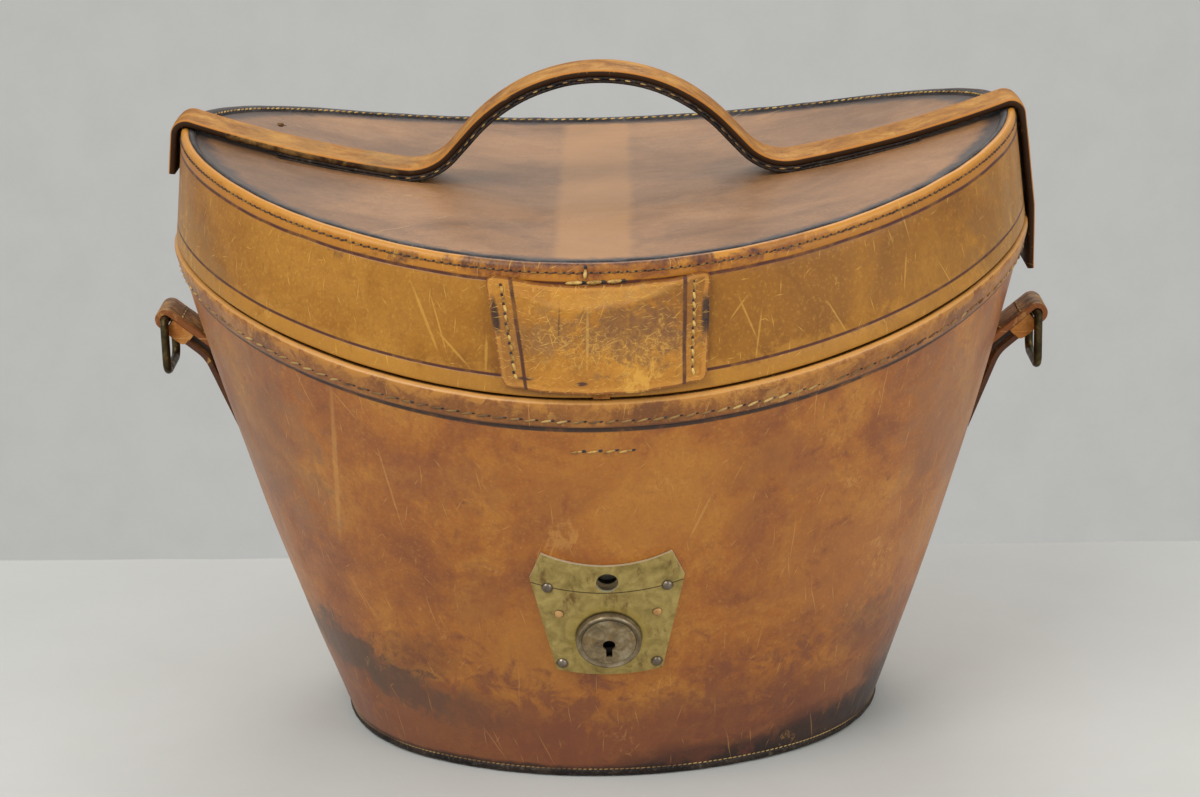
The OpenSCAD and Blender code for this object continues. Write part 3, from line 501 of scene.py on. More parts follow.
bodyLeather = leather("waxedBodyLeather", bodyLook)
rimLeather = leather("rimBindingLeather", rimLook)
lidLeather = leather("waxedLidLeather", lidLook)
panelLeather = leather("darkenedPanelLeather", panelLook)
strapLeather = leather("handleLeather", strapLook)
ringStrapLook = dict(strapLook, deep="#583a1e", base="#8e632e", light="#bb8b46", cloudSize=8, mottle=0.6, shine=0.3,
    gloss=0.4, dull=0.55, lines=[("edge", 4.2, 0.45)], lineColour="#2a1a12",
    reach=[("edge", 1.6, 0.5, "#b2743c", 0.6, 1.0), ("edge", 0.45, 0.1, "#874d26", 0.9, 0.4)])
ringStrapLeather = leather("ringStrapLeather", ringStrapLook)
ringTailLeather = leather("ringTailLeather", ringStrapLook, reach=[("edge", 0.5, 0.15, "#4d2c1d", 0.9, 0.4)])
handleLeather = leather("handleTopLeather", handleLook)
tabLeather = leather("wornTabLeather", tabLook)
blackLeather = leather("blackenedWeltLeather", darkLook)
rawLeather = leather("rawCutLeather", strapLook, deep="#8c4f22", base="#b27034", light="#c68c4c", rub=0.1, gloss=0.6,
    dull=0.75)
hingeLeather = leather("hingeLeather", strapLook, deep="#5a351d", base="#7f4f2b", light="#96643a")
underLeather = leather("blackenedHandleLeather", darkLook, deep="#120d0b", base="#221915", light="#382c24",
    shine=0.25)
innerLeather = leather("innerLipLeather", strapLook, deep="#6a3d1e", base="#8a5429", light="#a06a38")
liningCloth = cloth("cottonLining", {"deep": "#a08d66", "base": "#b5a27a", "light": "#c3b28c"})

# the lock's middle on the wall, and its outline and studs in the plate's own plane
lock = {"origin": Vector((0, -111.7446, 67.5)), "normal": Vector((0, -0.952102, -0.305781)),
    "up": Vector((0, -0.305781, 0.952102)), "half": 28.9, "topHalf": 24.3, "top": 39.4, "shoulder": 28.1,
    "hollow": 5.8, "foot": 20.1, "footDrop": 2.4, "bottom": 17.8, "plate": 1.3, "raised": 0.5, "hasp": 26.0,
    "haspRadius": 4.2, "bossRadius": 12.6, "bossHeight": 3.2, "plugRadius": 10.2, "plugHole": 9.0, "engraved": 21.3,
    "engravedRise": 4.7,
    "rivets": [(-22.4, 23.9), (22.4, 23.9), (-17.9, -12.2), (17.9, -12.2)], "rivetRadius": 2.0, "rivetRise": 1.35,
    "pins": [(-18.4, 11.7), (18.4, 11.7)], "pinRadius": 1.65, "pinRise": 0.6}


def plateAt(x, y, height):             # a point over the plate, which is bent to the wall
    return wallFront(x, lock["origin"].z + y * lock["up"].z, height + lock["raised"])


# the first ring, paler, round the boss is a painted highlight; the dark rings are dirt and painted shade
brassRings = [(plateAt(0, 0, 2.0), 12.4, 4.0, "#b39b48", 0.6), (plateAt(0, 0, 2.0), 12.2, 0.9, "#3a2c16", 0.9)]
brassRings += [(plateAt(x, y, 1.3), 1.9, 0.8, "#3d3019", 0.85) for x, y in lock["rivets"]]
brassRings += [(plateAt(x, y, 1.3), 1.6, 0.5, "#4a3a1e", 0.7) for x, y in lock["pins"]]
agedBrass = metal("agedBrassPlate", "#84703a", "#ac9555", "#c2ac68", gloss=0.34, dull=0.5, brushTurn=0, brushed=1.0,
    stain=0.75, metallic=0.5, lines=[("engraving", 0.0, 0.32)], rings=brassRings)
# paler brass for the plate's side faces and rounded edges, a painted highlight on the edges
brassPaintedHighlight = metal("brassEdgePaintedHighlight", "#b3ac88", "#c9c4a4", "#dad6be", gloss=0.3, dull=0.45, metallic=0.3)
dullSteel = metal("dullLockSteel", "#5c4d38", "#85755a", "#a59880", gloss=0.34, dull=0.48, metallic=0.7, stain=0.5,
    stainColour="#4a3a28")
rivetSteel = metal("rivetSteel", "#5c5042", "#7d7163", "#a1968a", gloss=0.22, dull=0.36, metallic=0.9)
# steel lightened as a painted highlight on the bolt seen in the hasp hole
boltSteelHighlight = metal("boltSteelPaintedHighlight", "#8e8a82", "#b4b0a8", "#cfccc6", gloss=0.25, dull=0.4, metallic=0.6)
# near-black lock case, a japanned finish and also painted shade for the inside seen through the hasp hole
blackIronHoleShade = metal("blackLockIronAndHoleShade", "#0f0e0d", "#181614", "#24211f", gloss=0.5, dull=0.6, metallic=0.3)
# the plug darkens below the lock's face, painted shade inside the keyhole
plugSteel = metal("turnedPlugSteel", "#5f5345", "#93815f", "#b3a78e", gloss=0.32, dull=0.46, metallic=0.65,
    cloudSize=4, stain=0.7, stainColour="#8b6a3c", brushTurn=0, pit=(lock["origin"], lock["normal"], 3.3, 2.7))
filedCopper = metal("filedCopper", "#9a6c3c", "#cb9a60", "#dcb07c", gloss=0.3, dull=0.45, metallic=0.5)
bronzedWire = metal("bronzedRingWire", "#2e2717", "#4a3f27", "#7c6a42", gloss=0.3, dull=0.5, metallic=0.9)
paleThread = thread("yellowedLinenThread", "#6d4a1d", "#b48c45", "#d9b76c")
dirtyThread = thread("dirtyLinenThread", "#4a2f18", "#93713f", "#c4a566", 30)
darkThread = thread("waxedDarkThread", "#2a180e", "#5d3c1c", "#94702f")
print("materials are ready")


def finish(mesh, name, body, material, replaces=(), sharp=35.0, bevel=0.0, segments=2):
    data = bpy.data.meshes.new(name)
    bmesh.ops.recalc_face_normals(mesh, faces=mesh.faces)
    mesh.to_mesh(data)
    mesh.free()
    piece = bpy.data.objects.new(name, data)
    bpy.context.scene.collection.objects.link(piece)
    data.materials.append(material)
    data.shade_smooth()
    data.set_sharp_from_angle(angle=radians(sharp))
    if bevel:
        rounding = piece.modifiers.new("roundedEdges", "BEVEL")
        rounding.width = bevel * mm
        rounding.segments = segments
        rounding.limit_method = "ANGLE"
        rounding.angle_limit = radians(40)
    if body:
        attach(piece, body)
    if replaces:
        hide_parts(*replaces)
    return piece


def sweep(rows, closed=True, ends=False, keep=()):
    # rows of points in mm with their kept distances; closed joins the last row to the first, ends fills both
    mesh = bmesh.new()
    order = mesh.verts.layers.int.new("order")
    kept = [mesh.verts.layers.float.new(key) for key in keep]
    bmesh.ops.create_circle(mesh, segments=len(rows[0]), radius=1)
    mesh.verts.ensure_lookup_table()
    for i, vert in enumerate(mesh.verts):
        vert[order] = i

    def put(verts, row):
        for vert in verts:
            point, distances = row[vert[order]]
            vert.co = point * mm
            for layer, distance in zip(kept, distances):
                vert[layer] = distance

    put(mesh.verts[:], rows[0])
    first = mesh.edges[:]
    edges = first
    for row in rows[1:]:
        made = bmesh.ops.extrude_edge_only(mesh, edges=edges)["geom"]
        verts = [g for g in made if isinstance(g, bmesh.types.BMVert)]
        fresh = set(verts)
        edges = [g for g in made if isinstance(g, bmesh.types.BMEdge) and g.verts[0] in fresh and g.verts[1] in fresh]
        put(verts, row)
    if closed:
        bmesh.ops.bridge_loops(mesh, edges=first + edges)
    if ends:
        bmesh.ops.holes_fill(mesh, edges=first + edges)
    return mesh


def loops(turns, place, steps):        # rows round the box, one for each step along the section
    return [[place(turn, *step) for turn in turns] for step in steps]


def shares(count):                     # 0 to 1 in this many steps
    return [i / count for i in range(count + 1)]


def plate(columns, rows, thick, place, keep=()):
    # a closed sheet: a grid over (0..1, 0..1), thickened and then laid on a surface by place(u, v, height)
    mesh = bmesh.new()
    kept = [mesh.verts.layers.float.new(key) for key in keep]
    bmesh.ops.create_grid(mesh, x_segments=columns, y_segments=rows, size=0.5)
    slab = 0.01
    bmesh.ops.solidify(mesh, geom=mesh.faces[:], thickness=slab)
    low = min(vert.co.z for vert in mesh.verts)
    for vert in mesh.verts:
        top = vert.co.z > low + slab / 2
        point, distances = place(vert.co.x + 0.5, vert.co.y + 0.5, thick if top else 0.0)
        vert.co = point * mm
        for layer, distance in zip(kept, distances):
            vert[layer] = distance
    return mesh


bodyWall = {"segments": 320, "rows": 36, "innerRows": 26, "leather": 3.0, "startZ": 3.4, "topDrop": 1.2, "wave": 0.4,
            "haspZ": 92.3, "haspHole": 6.0}


def makeBodyWall():
    turns = evenTurns(bodyWall["segments"])
    start = bodyWall["startZ"]

    def place(turn, t, outside):
        top = rimAt(turn, bodyWall["topDrop"]).z
        z = start + (top - start) * t
        if not outside:
            return wallAt(turn, z + 0.8 * (1 - t), 0.1 - bodyWall["leather"]), (top - z, z)
        wave = uneven(wallAt(turn, z), 34, bodyWall["wave"]) * min(1, (top - z) / 20, (z - start) / 15)
        return wallAt(turn, z, wave), (top + bodyWall["topDrop"] - z, z)

    rows = loops(turns, place, [(t, True) for t in shares(bodyWall["rows"])])
    rows += loops(turns, place, [(1 - t, False) for t in shares(bodyWall["innerRows"])])
    mesh = sweep(rows, keep=("drop", "fromBase"))
    reach = bodyWall["haspHole"] * mm
    centre = bodyWall["haspZ"] * mm
    # opening for the hasp, behind the lock plate
    middles = [(face, face.calc_center_median()) for face in mesh.faces]
    behind = [face for face, at in middles if abs(at.x) < reach and abs(at.z - centre) < reach and at.y < 0]
    bmesh.ops.delete(mesh, geom=behind, context="FACES")
    bmesh.ops.bridge_loops(mesh, edges=[edge for edge in mesh.edges if edge.is_boundary])
    finish(mesh, "bodyWall", "case", bodyLeather, ["body_shell"])


rimBinding = {"segments": 400, "section": [(11.7, -0.2), (11.6, 0.35), (11.2, 0.55), (10.4, 0.95), (9.6, 1.15),
        (9.0, 1.08), (8.4, 1.2), (5.5, 1.3), (4.0, 1.4), (2.8, 1.35), (1.7, 1.05), (0.9, 0.45), (0.35, -0.5),
        (0.12, -1.5), (0.2, -2.5), (0.6, -3.3), (1.2, -3.7), (2.0, -3.8), (2.0, -1.6), (2.2, -0.2)]}


def makeRimBinding():
    turns = evenTurns(rimBinding["segments"])

    def place(turn, drop, out):
        point = rimAt(turn, drop, out)
        return rimAt(turn, drop + uneven(point, 16, 0.18), out + uneven(point, 9, 0.1)), (drop,)

    rows = loops(turns, place, rimBinding["section"])
    finish(sweep(rows, keep=("drop",)), "rimBinding", "case", rimLeather, ["body_rim_band"], sharp=60)


lidBand = {"segments": 400, "low": [(1.1, -1.2), (0.75, -0.7), (0.95, -0.25), (1.5, 0.0), (2.4, 0.06), (4.0, 0.03),
        (6.9, 0.0), (7.6, -0.12), (8.3, 0.0), (14.0, 0.0), (20.0, 0.0), (26.0, 0.0)],
    "high": [(17.0, 0.0), (11.0, 0.0), (7.7, 0.0), (7.0, -0.14), (6.3, 0.03), (4.6, 0.1), (3.4, -0.12),
        (2.4, 0.05), (1.4, -0.1), (0.7, -0.45), (0.25, -1.0), (0.05, -1.8), (0.15, -2.6), (0.5, -3.0),
        (6.0, -2.9), (20.0, -2.9)],
    "inner": [(12.0, -2.9), (1.3, -2.9)]}


def makeLidBand():
    turns = evenTurns(lidBand["segments"])

    def low(turn, lift, out):
        point = lidLowAt(turn, lift, out)
        moved = lidLowAt(turn, lift + uneven(point, 20, 0.14), out + uneven(point, 45, 0.3))
        return moved, (lift, lidHighAt(turn, 0, out).z - point.z, 20)

    def high(turn, depth, out):
        point = lidHighAt(turn, depth, out)
        moved = lidHighAt(turn, depth + uneven(point, 12, 0.2), out + uneven(point, 45, 0.3))
        return moved, (point.z - lidLowAt(turn, 0, out).z, depth, depth + max(0, 45 - point.y) / 8)

    rows = loops(turns, low, lidBand["low"]) + loops(turns, high, lidBand["high"])
    rows += loops(turns, low, lidBand["inner"])
    finish(sweep(rows, keep=("fromGap", "fromEdge", "farEdge")), "lidBand", "lid", lidLeather, ["lid_band"], sharp=60)


topPanel = {"segments": 240, "rings": 34, "leather": 4.4, "rim": -5.4}


def makeTopPanel():
    turns = evenTurns(topPanel["segments"])

    def place(turn, t, depth):
        t = max(t, 0.004)
        edge = lidHighAt(turn, boxShape["panelDrop"], topPanel["rim"])
        x, y = edge.x * t, edge.y * t
        z = lidEdgeZ(x, depth) + uneven(Vector((x, y, 0)), 55, 0.45) * min(1, (1 - t) * 8)
        stripe = abs(x + 1.7 + uneven(Vector((x, y, 9)), 25, 0.8))
        return Vector((x, y, z)), ((1 - t) * sqrt(edge.x ** 2 + edge.y ** 2), stripe)

    low = boxShape["panelDrop"] + topPanel["leather"]
    rows = loops(turns, place, [(t, low) for t in (0.0, 0.3, 0.7, 1.0)])
    rows += loops(turns, place, [(1 - t, boxShape["panelDrop"]) for t in shares(topPanel["rings"])])
    mesh = sweep(rows, closed=False, ends=True, keep=("fromSide", "stripe"))
    finish(mesh, "topPanel", "lid", panelLeather, ["lid_top"], sharp=50)


edgeWelt = {"segments": 360, "section": [(0.5, -2.7), (0.0, -2.95), (-0.3, -3.5), (-0.35, -4.2), (-0.15, -4.9),
        (0.3, -5.5), (0.9, -6.0), (1.3, -6.3), (2.4, -6.4), (2.6, -3.2)]}


def makeEdgeWelt():
    turns = evenTurns(edgeWelt["segments"])

    def place(turn, depth, out):
        return lidHighAt(turn, depth + uneven(lidHighAt(turn, depth, out), 8, 0.3), out), ()

    finish(sweep(loops(turns, place, edgeWelt["section"])), "edgeWelt", "lid", blackLeather, ["lid_edge_welt"],
        sharp=60)


baseWelt = {"segments": 300, "radius": 1.75, "sides": 12, "proud": -0.75, "z": 2.0}


def weltAt(turn, around, out=0.0):
    r = baseWelt["radius"] + out
    x, y = ovalPoint(*baseOval, wallGrow(baseWelt["z"]) + baseWelt["proud"] + r * cos(around), turn)
    return Vector((x, y, max(0.0, baseWelt["z"] + r * sin(around))))


def makeBaseWelt():
    turns = evenTurns(baseWelt["segments"], 0)

    def place(turn, around):
        return weltAt(turn, around, uneven(weltAt(turn, around), 6, 0.2)), ()

    rows = loops(turns, place, [(2 * pi * t,) for t in shares(baseWelt["sides"])[:-1]])
    finish(sweep(rows), "baseWelt", "case", underLeather, ["base_welt"], sharp=80)


makeBodyWall()
makeRimBinding()
makeLidBand()
makeTopPanel()
makeEdgeWelt()
makeBaseWelt()
print("walls, bands and panel are made")


handleShape = {"width": 26.0, "strap": 2.6, "filler": 1.3, "under": 1.2, "rise": 43.7, "arch": 68.0, "dip": 22.5,
    "reach": 78.0, "gripHalf": 126.0, "leftTail": 16.0, "rightTail": 24.0, "clear": 0.9, "bend": 3.4, "lifted": 1.0,
    "seamHalf": 82.0, "seamPitch": 3.6, "seamLevel": -0.9}


def handleHalf(tail):
    # bends are (radius, turn in radians), straight runs are (length,), from the top of the arch outward
    lidCurve, height = boxShape["lidCurve"], boxShape["lidZ"] - boxShape["rimZ"]
    dip, reach = handleShape["dip"], handleShape["reach"]
    lie = asin(reach / lidCurve)
    dipX, dipZ = reach - dip * sin(lie), lidCurve - (lidCurve - dip) * cos(lie)
    archZ = handleShape["rise"] - handleShape["arch"]
    between = sqrt(dipX ** 2 + (dipZ - archZ) ** 2)
    run = sqrt(between ** 2 - (handleShape["arch"] + dip) ** 2)
    arch = atan2(handleShape["arch"] + dip, run) - atan2(dipZ - archZ, dipX)
    lean = atan(boxShape["lidLean"])
    foldRadius = handleShape["bend"]
    bandReach = boxShape["lidHalfLength"] * cos(lean) - height * sin(lean) - lidCurve * sin(lean)
    fold = lean + asin((handleShape["clear"] - foldRadius + bandReach) / (lidCurve + foldRadius))
    foldEnd = boxShape["lidZ"] + lidCurve - (lidCurve + foldRadius) * cos(fold) + foldRadius * sin(lean)
    path = [(handleShape["arch"], -arch), (run,), (dip, arch + lie), (lidCurve, fold - lie),
        (foldRadius, lean - pi / 2 - fold)]
    if tail == "right":
        path += [((foldEnd - rimEndZ - 4) / cos(lean),), (30, -lean), (handleShape["rightTail"],)]
    else:
        path += [(handleShape["leftTail"],)]
    return path


def walk(path, z, step=3.0):           # points of a path as (x, z, heading)
    x, heading = 0.0, 0.0
    points = [(x, z, heading)]
    for piece in path:
        if len(piece) == 1:
            count = max(1, int(piece[0] / step))
            for _ in range(count):
                x += piece[0] / count * cos(heading)
                z += piece[0] / count * sin(heading)
                points.append((x, z, heading))
            continue
        radius = piece[0] if piece[1] > 0 else -piece[0]
        count = max(2, int(abs(piece[0] * piece[1]) / step), int(abs(piece[1]) / 0.12))
        for _ in range(count):
            nextHeading = heading + piece[1] / count
            x += radius * (sin(nextHeading) - sin(heading))
            z += radius * (cos(heading) - cos(nextHeading))
            heading = nextHeading
            points.append((x, z, heading))
    return points


archTop = boxShape["lidZ"] + handleShape["rise"] + handleShape["lifted"]
rightHalf = walk(handleHalf("right"), archTop)
leftHalf = [(-x, z, -heading) for x, z, heading in walk(handleHalf("left"), archTop)]
handleLine = leftHalf[:0:-1] + rightHalf


def strapSection(half, low, high, crown=0.25, corner=0.8):      # closed loop of (across, height)
    top = [((2 * t - 1) * (half - corner), high + crown * (1 - (2 * t - 1) ** 2)) for t in shares(10)]
    edge = [(half - corner * 0.3, high - corner * 0.3), (half, high - corner), (half, low + corner * 0.6),
        (half - corner * 0.6, low)]
    return top + edge + [(0, low)] + [(-across, height) for across, height in reversed(edge)]


def makeHandleLayer(name, material, replaces, low, high, half, reach, crown):
    rows = []
    section = strapSection(half, low, high, crown, min(0.9, (high - low) * 0.4))
    for x, z, heading in handleLine:
        if abs(x) > reach:
            continue
        row = []
        for across, height in section:
            point = Vector((x, across, z))
            height += uneven(point, 14, 0.15)
            across += uneven(point + Vector((0, 0, 50)), 18, 0.5)      # another part of the same noise
            row.append((Vector((x - height * sin(heading), across, z + height * cos(heading))),
                        (half - abs(across), high - height)))
        rows.append(row)
    mesh = sweep(rows, closed=False, ends=True, keep=("edge", "depth"))
    finish(mesh, name, "lid", material, [replaces], sharp=50)


handleHalfWidth = handleShape["width"] / 2
makeHandleLayer("handleStrap", handleLeather, "handle_strap", 0.0, handleShape["strap"], handleHalfWidth, 1000, 0.3)
makeHandleLayer("handleFiller", underLeather, "handle_filler", -handleShape["filler"], 0.0, handleHalfWidth - 0.3,
                handleShape["gripHalf"], 0.0)
makeHandleLayer("handleUnderStrap", underLeather, "handle_under_strap", -handleShape["filler"] - handleShape["under"],
                -handleShape["filler"], handleHalfWidth - 0.1, handleShape["gripHalf"], 0.0)
print("handle is made")


frontTab = {"lowHalf": 36.6, "highHalf": 40.2, "shift": 1.6, "height": 38.6, "lift": 4.6, "leather": 2.2,
    "tunnel": 1.1, "margin": 9.0, "corner": 3.2, "fold": 9.5, "crease": 0.5, "rollIn": 1.5, "lowSwell": 0.5,
    "topSag": 1.9, "lowSag": 1.3, "wrinkle": 0.3}


def tabPlace(u, v, height):
    # wider at the top than at the bottom; the raised middle rolls in towards the band along its upper edge
    tall, corner = frontTab["height"], frontTab["corner"]
    across = 2 * u - 1
    fromEnd = min(v, 1 - v) * tall
    half = frontTab["lowHalf"] + (frontTab["highHalf"] - frontTab["lowHalf"]) * v
    short = max(0, corner - fromEnd)
    rounded = corner - sqrt(corner * corner - short * short)
    x = across * (half - rounded * across ** 12) + frontTab["shift"] * (1 - v) - 0.3
    inside = half * (1 - abs(across)) - frontTab["margin"]
    raised = min(1, max(0, inside / 8 + 0.5))
    raised = raised * raised * (3 - 2 * raised)
    middle = max(0, 1 - across * across * 1.4)
    depth = (1 - v) * tall
    fold = frontTab["fold"] * max(0.15, 1 - ((across + 0.12) / 0.9) ** 2)
    rolled = max(0, 1 - depth / fold)
    crease = frontTab["crease"] * max(0, 1 - abs(depth - fold) / 2.2)
    roll = frontTab["rollIn"] * middle * rolled ** 1.5
    swell = frontTab["lowSwell"] * middle * max(0, 1 - v / 0.25)
    out = raised * (frontTab["tunnel"] + crease - roll + swell)
    topSag, lowSag = frontTab["topSag"] * middle * max(0, 2 * v - 1), frontTab["lowSag"] * middle * max(0, 1 - 2 * v)
    lift = frontTab["lift"] + tall * v - topSag - lowSag + (0.9 * v - 0.4) * max(0, -across)
    if height:
        out += uneven(Vector((x, 0, lift)), 7, frontTab["wrinkle"]) * min(1, fromEnd / 2)
    lift += uneven(Vector((x, 5, v * 30)), 9, 0.4)
    x += uneven(Vector((3, x, lift)), 11, 0.3)
    return lidFront(x, lift, out + height), (abs(across) * 38, min(half * (1 - abs(across)), fromEnd))


finish(plate(72, 44, frontTab["leather"], tabPlace, keep=("sideIn", "edge")), "frontTab", "lid", tabLeather,
       ["front_tab"], sharp=50, bevel=0.9, segments=3)

hinge = {"half": 32.0, "lidHeight": 36.0, "bodyHeight": 42.0, "leather": 2.4, "corner": 9.0}


def hingePlace(u, v, height):
    drop = hinge["bodyHeight"] - (hinge["bodyHeight"] + hinge["lidHeight"]) * v      # below the rim
    fromEnd = min(hinge["bodyHeight"] - drop, hinge["lidHeight"] + drop)
    short = hinge["corner"] - min(fromEnd, hinge["corner"])
    half = hinge["half"] - hinge["corner"] + sqrt(hinge["corner"] ** 2 - short ** 2)
    x = half * (2 * u - 1)
    out = height + 0.3 + (uneven(Vector((x, 3, drop)), 12, 0.25) if height else 0)
    z = rimHeight(x) - drop
    low, high = wallFront(x, z, out, 1), lidFront(x, -drop, out, 1)
    part = min(1, max(0, 0.5 - drop / 6))
    return low.lerp(high, part), (min(half - abs(x), fromEnd), abs(drop))


hingeLeaf = finish(plate(32, 46, hinge["leather"], hingePlace, keep=("edge", "fold")), "leatherHinge", None,
    hingeLeather, ["hinge_body_leaf", "hinge_lid_leaf"], sharp=50, bevel=0.6)
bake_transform(hingeLeaf)
print("tab and hinge are made")


def lockPoint(x, y, height):
    return lock["origin"] + Vector((x, 0, 0)) + lock["up"] * y + lock["normal"] * height


def arcRadius(half, sag):
    return (half * half + sag * sag) / (2 * sag)


def hollowCurve(half, sag, low, steps):      # a shallow arc from one end to the other, lowest in the middle
    places = [half * i / steps for i in range(-steps, steps + 1)]
    return [(x, low + rise(x, arcRadius(abs(half), sag))) for x in places]


def circle(radius, count, y=0.0):
    turns = [2 * pi * i / count for i in range(count)]
    return [(radius * cos(a), y + radius * sin(a)) for a in turns]


def makeLockPlate():
    outline = hollowCurve(lock["foot"], lock["footDrop"], -lock["bottom"], 12) + [(lock["half"], lock["shoulder"])]
    outline += hollowCurve(-lock["topHalf"], lock["hollow"], lock["top"] - lock["hollow"], 14)
    outline += [(-lock["half"], lock["shoulder"])]
    holes = [circle(lock["haspRadius"], 40, lock["hasp"]), circle(lock["plugHole"], 48)]
    mesh = bmesh.new()
    engraving = mesh.verts.layers.float.new("engraving")
    edges = []
    for loop in [outline] + holes:
        verts = [mesh.verts.new((x, y, 0)) for x, y in loop]
        edges += [mesh.edges.new((verts[i - 1], verts[i])) for i in range(len(verts))]
    bmesh.ops.triangle_fill(mesh, edges=edges, use_beauty=True, use_dissolve=False)
    cuts = [((x, 0, 0), (1, 0, 0)) for x in range(-27, 28, 3)] + [((0, y, 0), (0, 1, 0)) for y in range(-15, 39, 3)]
    for place, way in cuts:                # so that the plate can bend
        bmesh.ops.bisect_plane(mesh, geom=mesh.verts[:] + mesh.edges[:] + mesh.faces[:], plane_co=place, plane_no=way)
    bmesh.ops.recalc_face_normals(mesh, faces=mesh.faces)
    bmesh.ops.solidify(mesh, geom=mesh.faces[:], thickness=lock["plate"])
    low = min(vert.co.z for vert in mesh.verts)
    mesh.normal_update()
    for face in mesh.faces:
        # side faces and the bevel take the paler brass, a painted highlight on the plate's edges
        face.material_index = 1 if abs(face.normal.z) < 0.5 else 0
    for vert in mesh.verts:
        x, y, height = vert.co.x, vert.co.y, vert.co.z - low
        vert[engraving] = y - lock["engraved"] - lock["engravedRise"] * (x / 28) ** 2
        if height > lock["plate"] / 2:
            height += uneven(Vector((x, y, 0)), 12, 0.12)
        else:
            height = -lock["raised"]
        vert.co = plateAt(x, y, height) * mm
    plateObject = finish(mesh, "lockPlate", "case", agedBrass, ["lock_plate"], sharp=30, bevel=0.35)
    plateObject.data.materials.append(brassPaintedHighlight)
    plateObject.modifiers["roundedEdges"].material = 1


def makeBoss():
    inner, outer, top = lock["plugRadius"] + 0.1, lock["bossRadius"], lock["plate"] + lock["bossHeight"]
    profile = [(outer - 0.2, 0.2), (outer - 0.2, top - 1.1), (outer - 0.3, top - 0.5), (outer - 0.6, top - 0.1),
        (outer - 0.9, top), (outer - 1.2, top - 0.15), (outer - 1.45, top - 0.6), (inner + 0.15, top - 0.75),
        (inner, top - 0.9), (inner, 0.2)]
    rows = []
    for i in range(96):
        a = 2 * pi * i / 96
        rows.append([(lockPoint(r * cos(a), r * sin(a), h), ()) for r, h in profile])
    finish(sweep(rows), "lockBossRing", "case", dullSteel, ["lock_boss"], sharp=60)


def makeStuds(name, seats, radius, dome, material):       # domed heads over the plate
    mesh = bmesh.new()
    for x, y in seats:
        foot = plateAt(x, y, lock["plate"] - 0.1)
        outward = (plateAt(x, y, lock["plate"] + 1) - foot).normalized()
        across = (Vector((1, 0, 0)) - outward * outward.x).normalized()
        place = Matrix((across, outward.cross(across), outward)).transposed().to_4x4()
        place = place @ Matrix.Diagonal((radius, radius, dome, 1))
        place.translation = foot
        bmesh.ops.create_uvsphere(mesh, u_segments=28, v_segments=14, radius=1, matrix=Matrix.Scale(mm, 4) @ place)
    finish(mesh, name, "case", material, sharp=180)


ringStrap = {"slope": 40.0, "reach": 15.3, "heights": {"left": 168.0, "right": 162.0}, "half": 10.0, "leather": 2.25,
    "bore": 1.93, "fillerStart": 2.6, "fillerLength": 10.2, "filler": 5.6, "tailFace": 1.0, "sunk": 1.2, "lap": 0.6,
    "tail": [(5.67,), (18.0, -radians(27.7)), (29.3,)]}


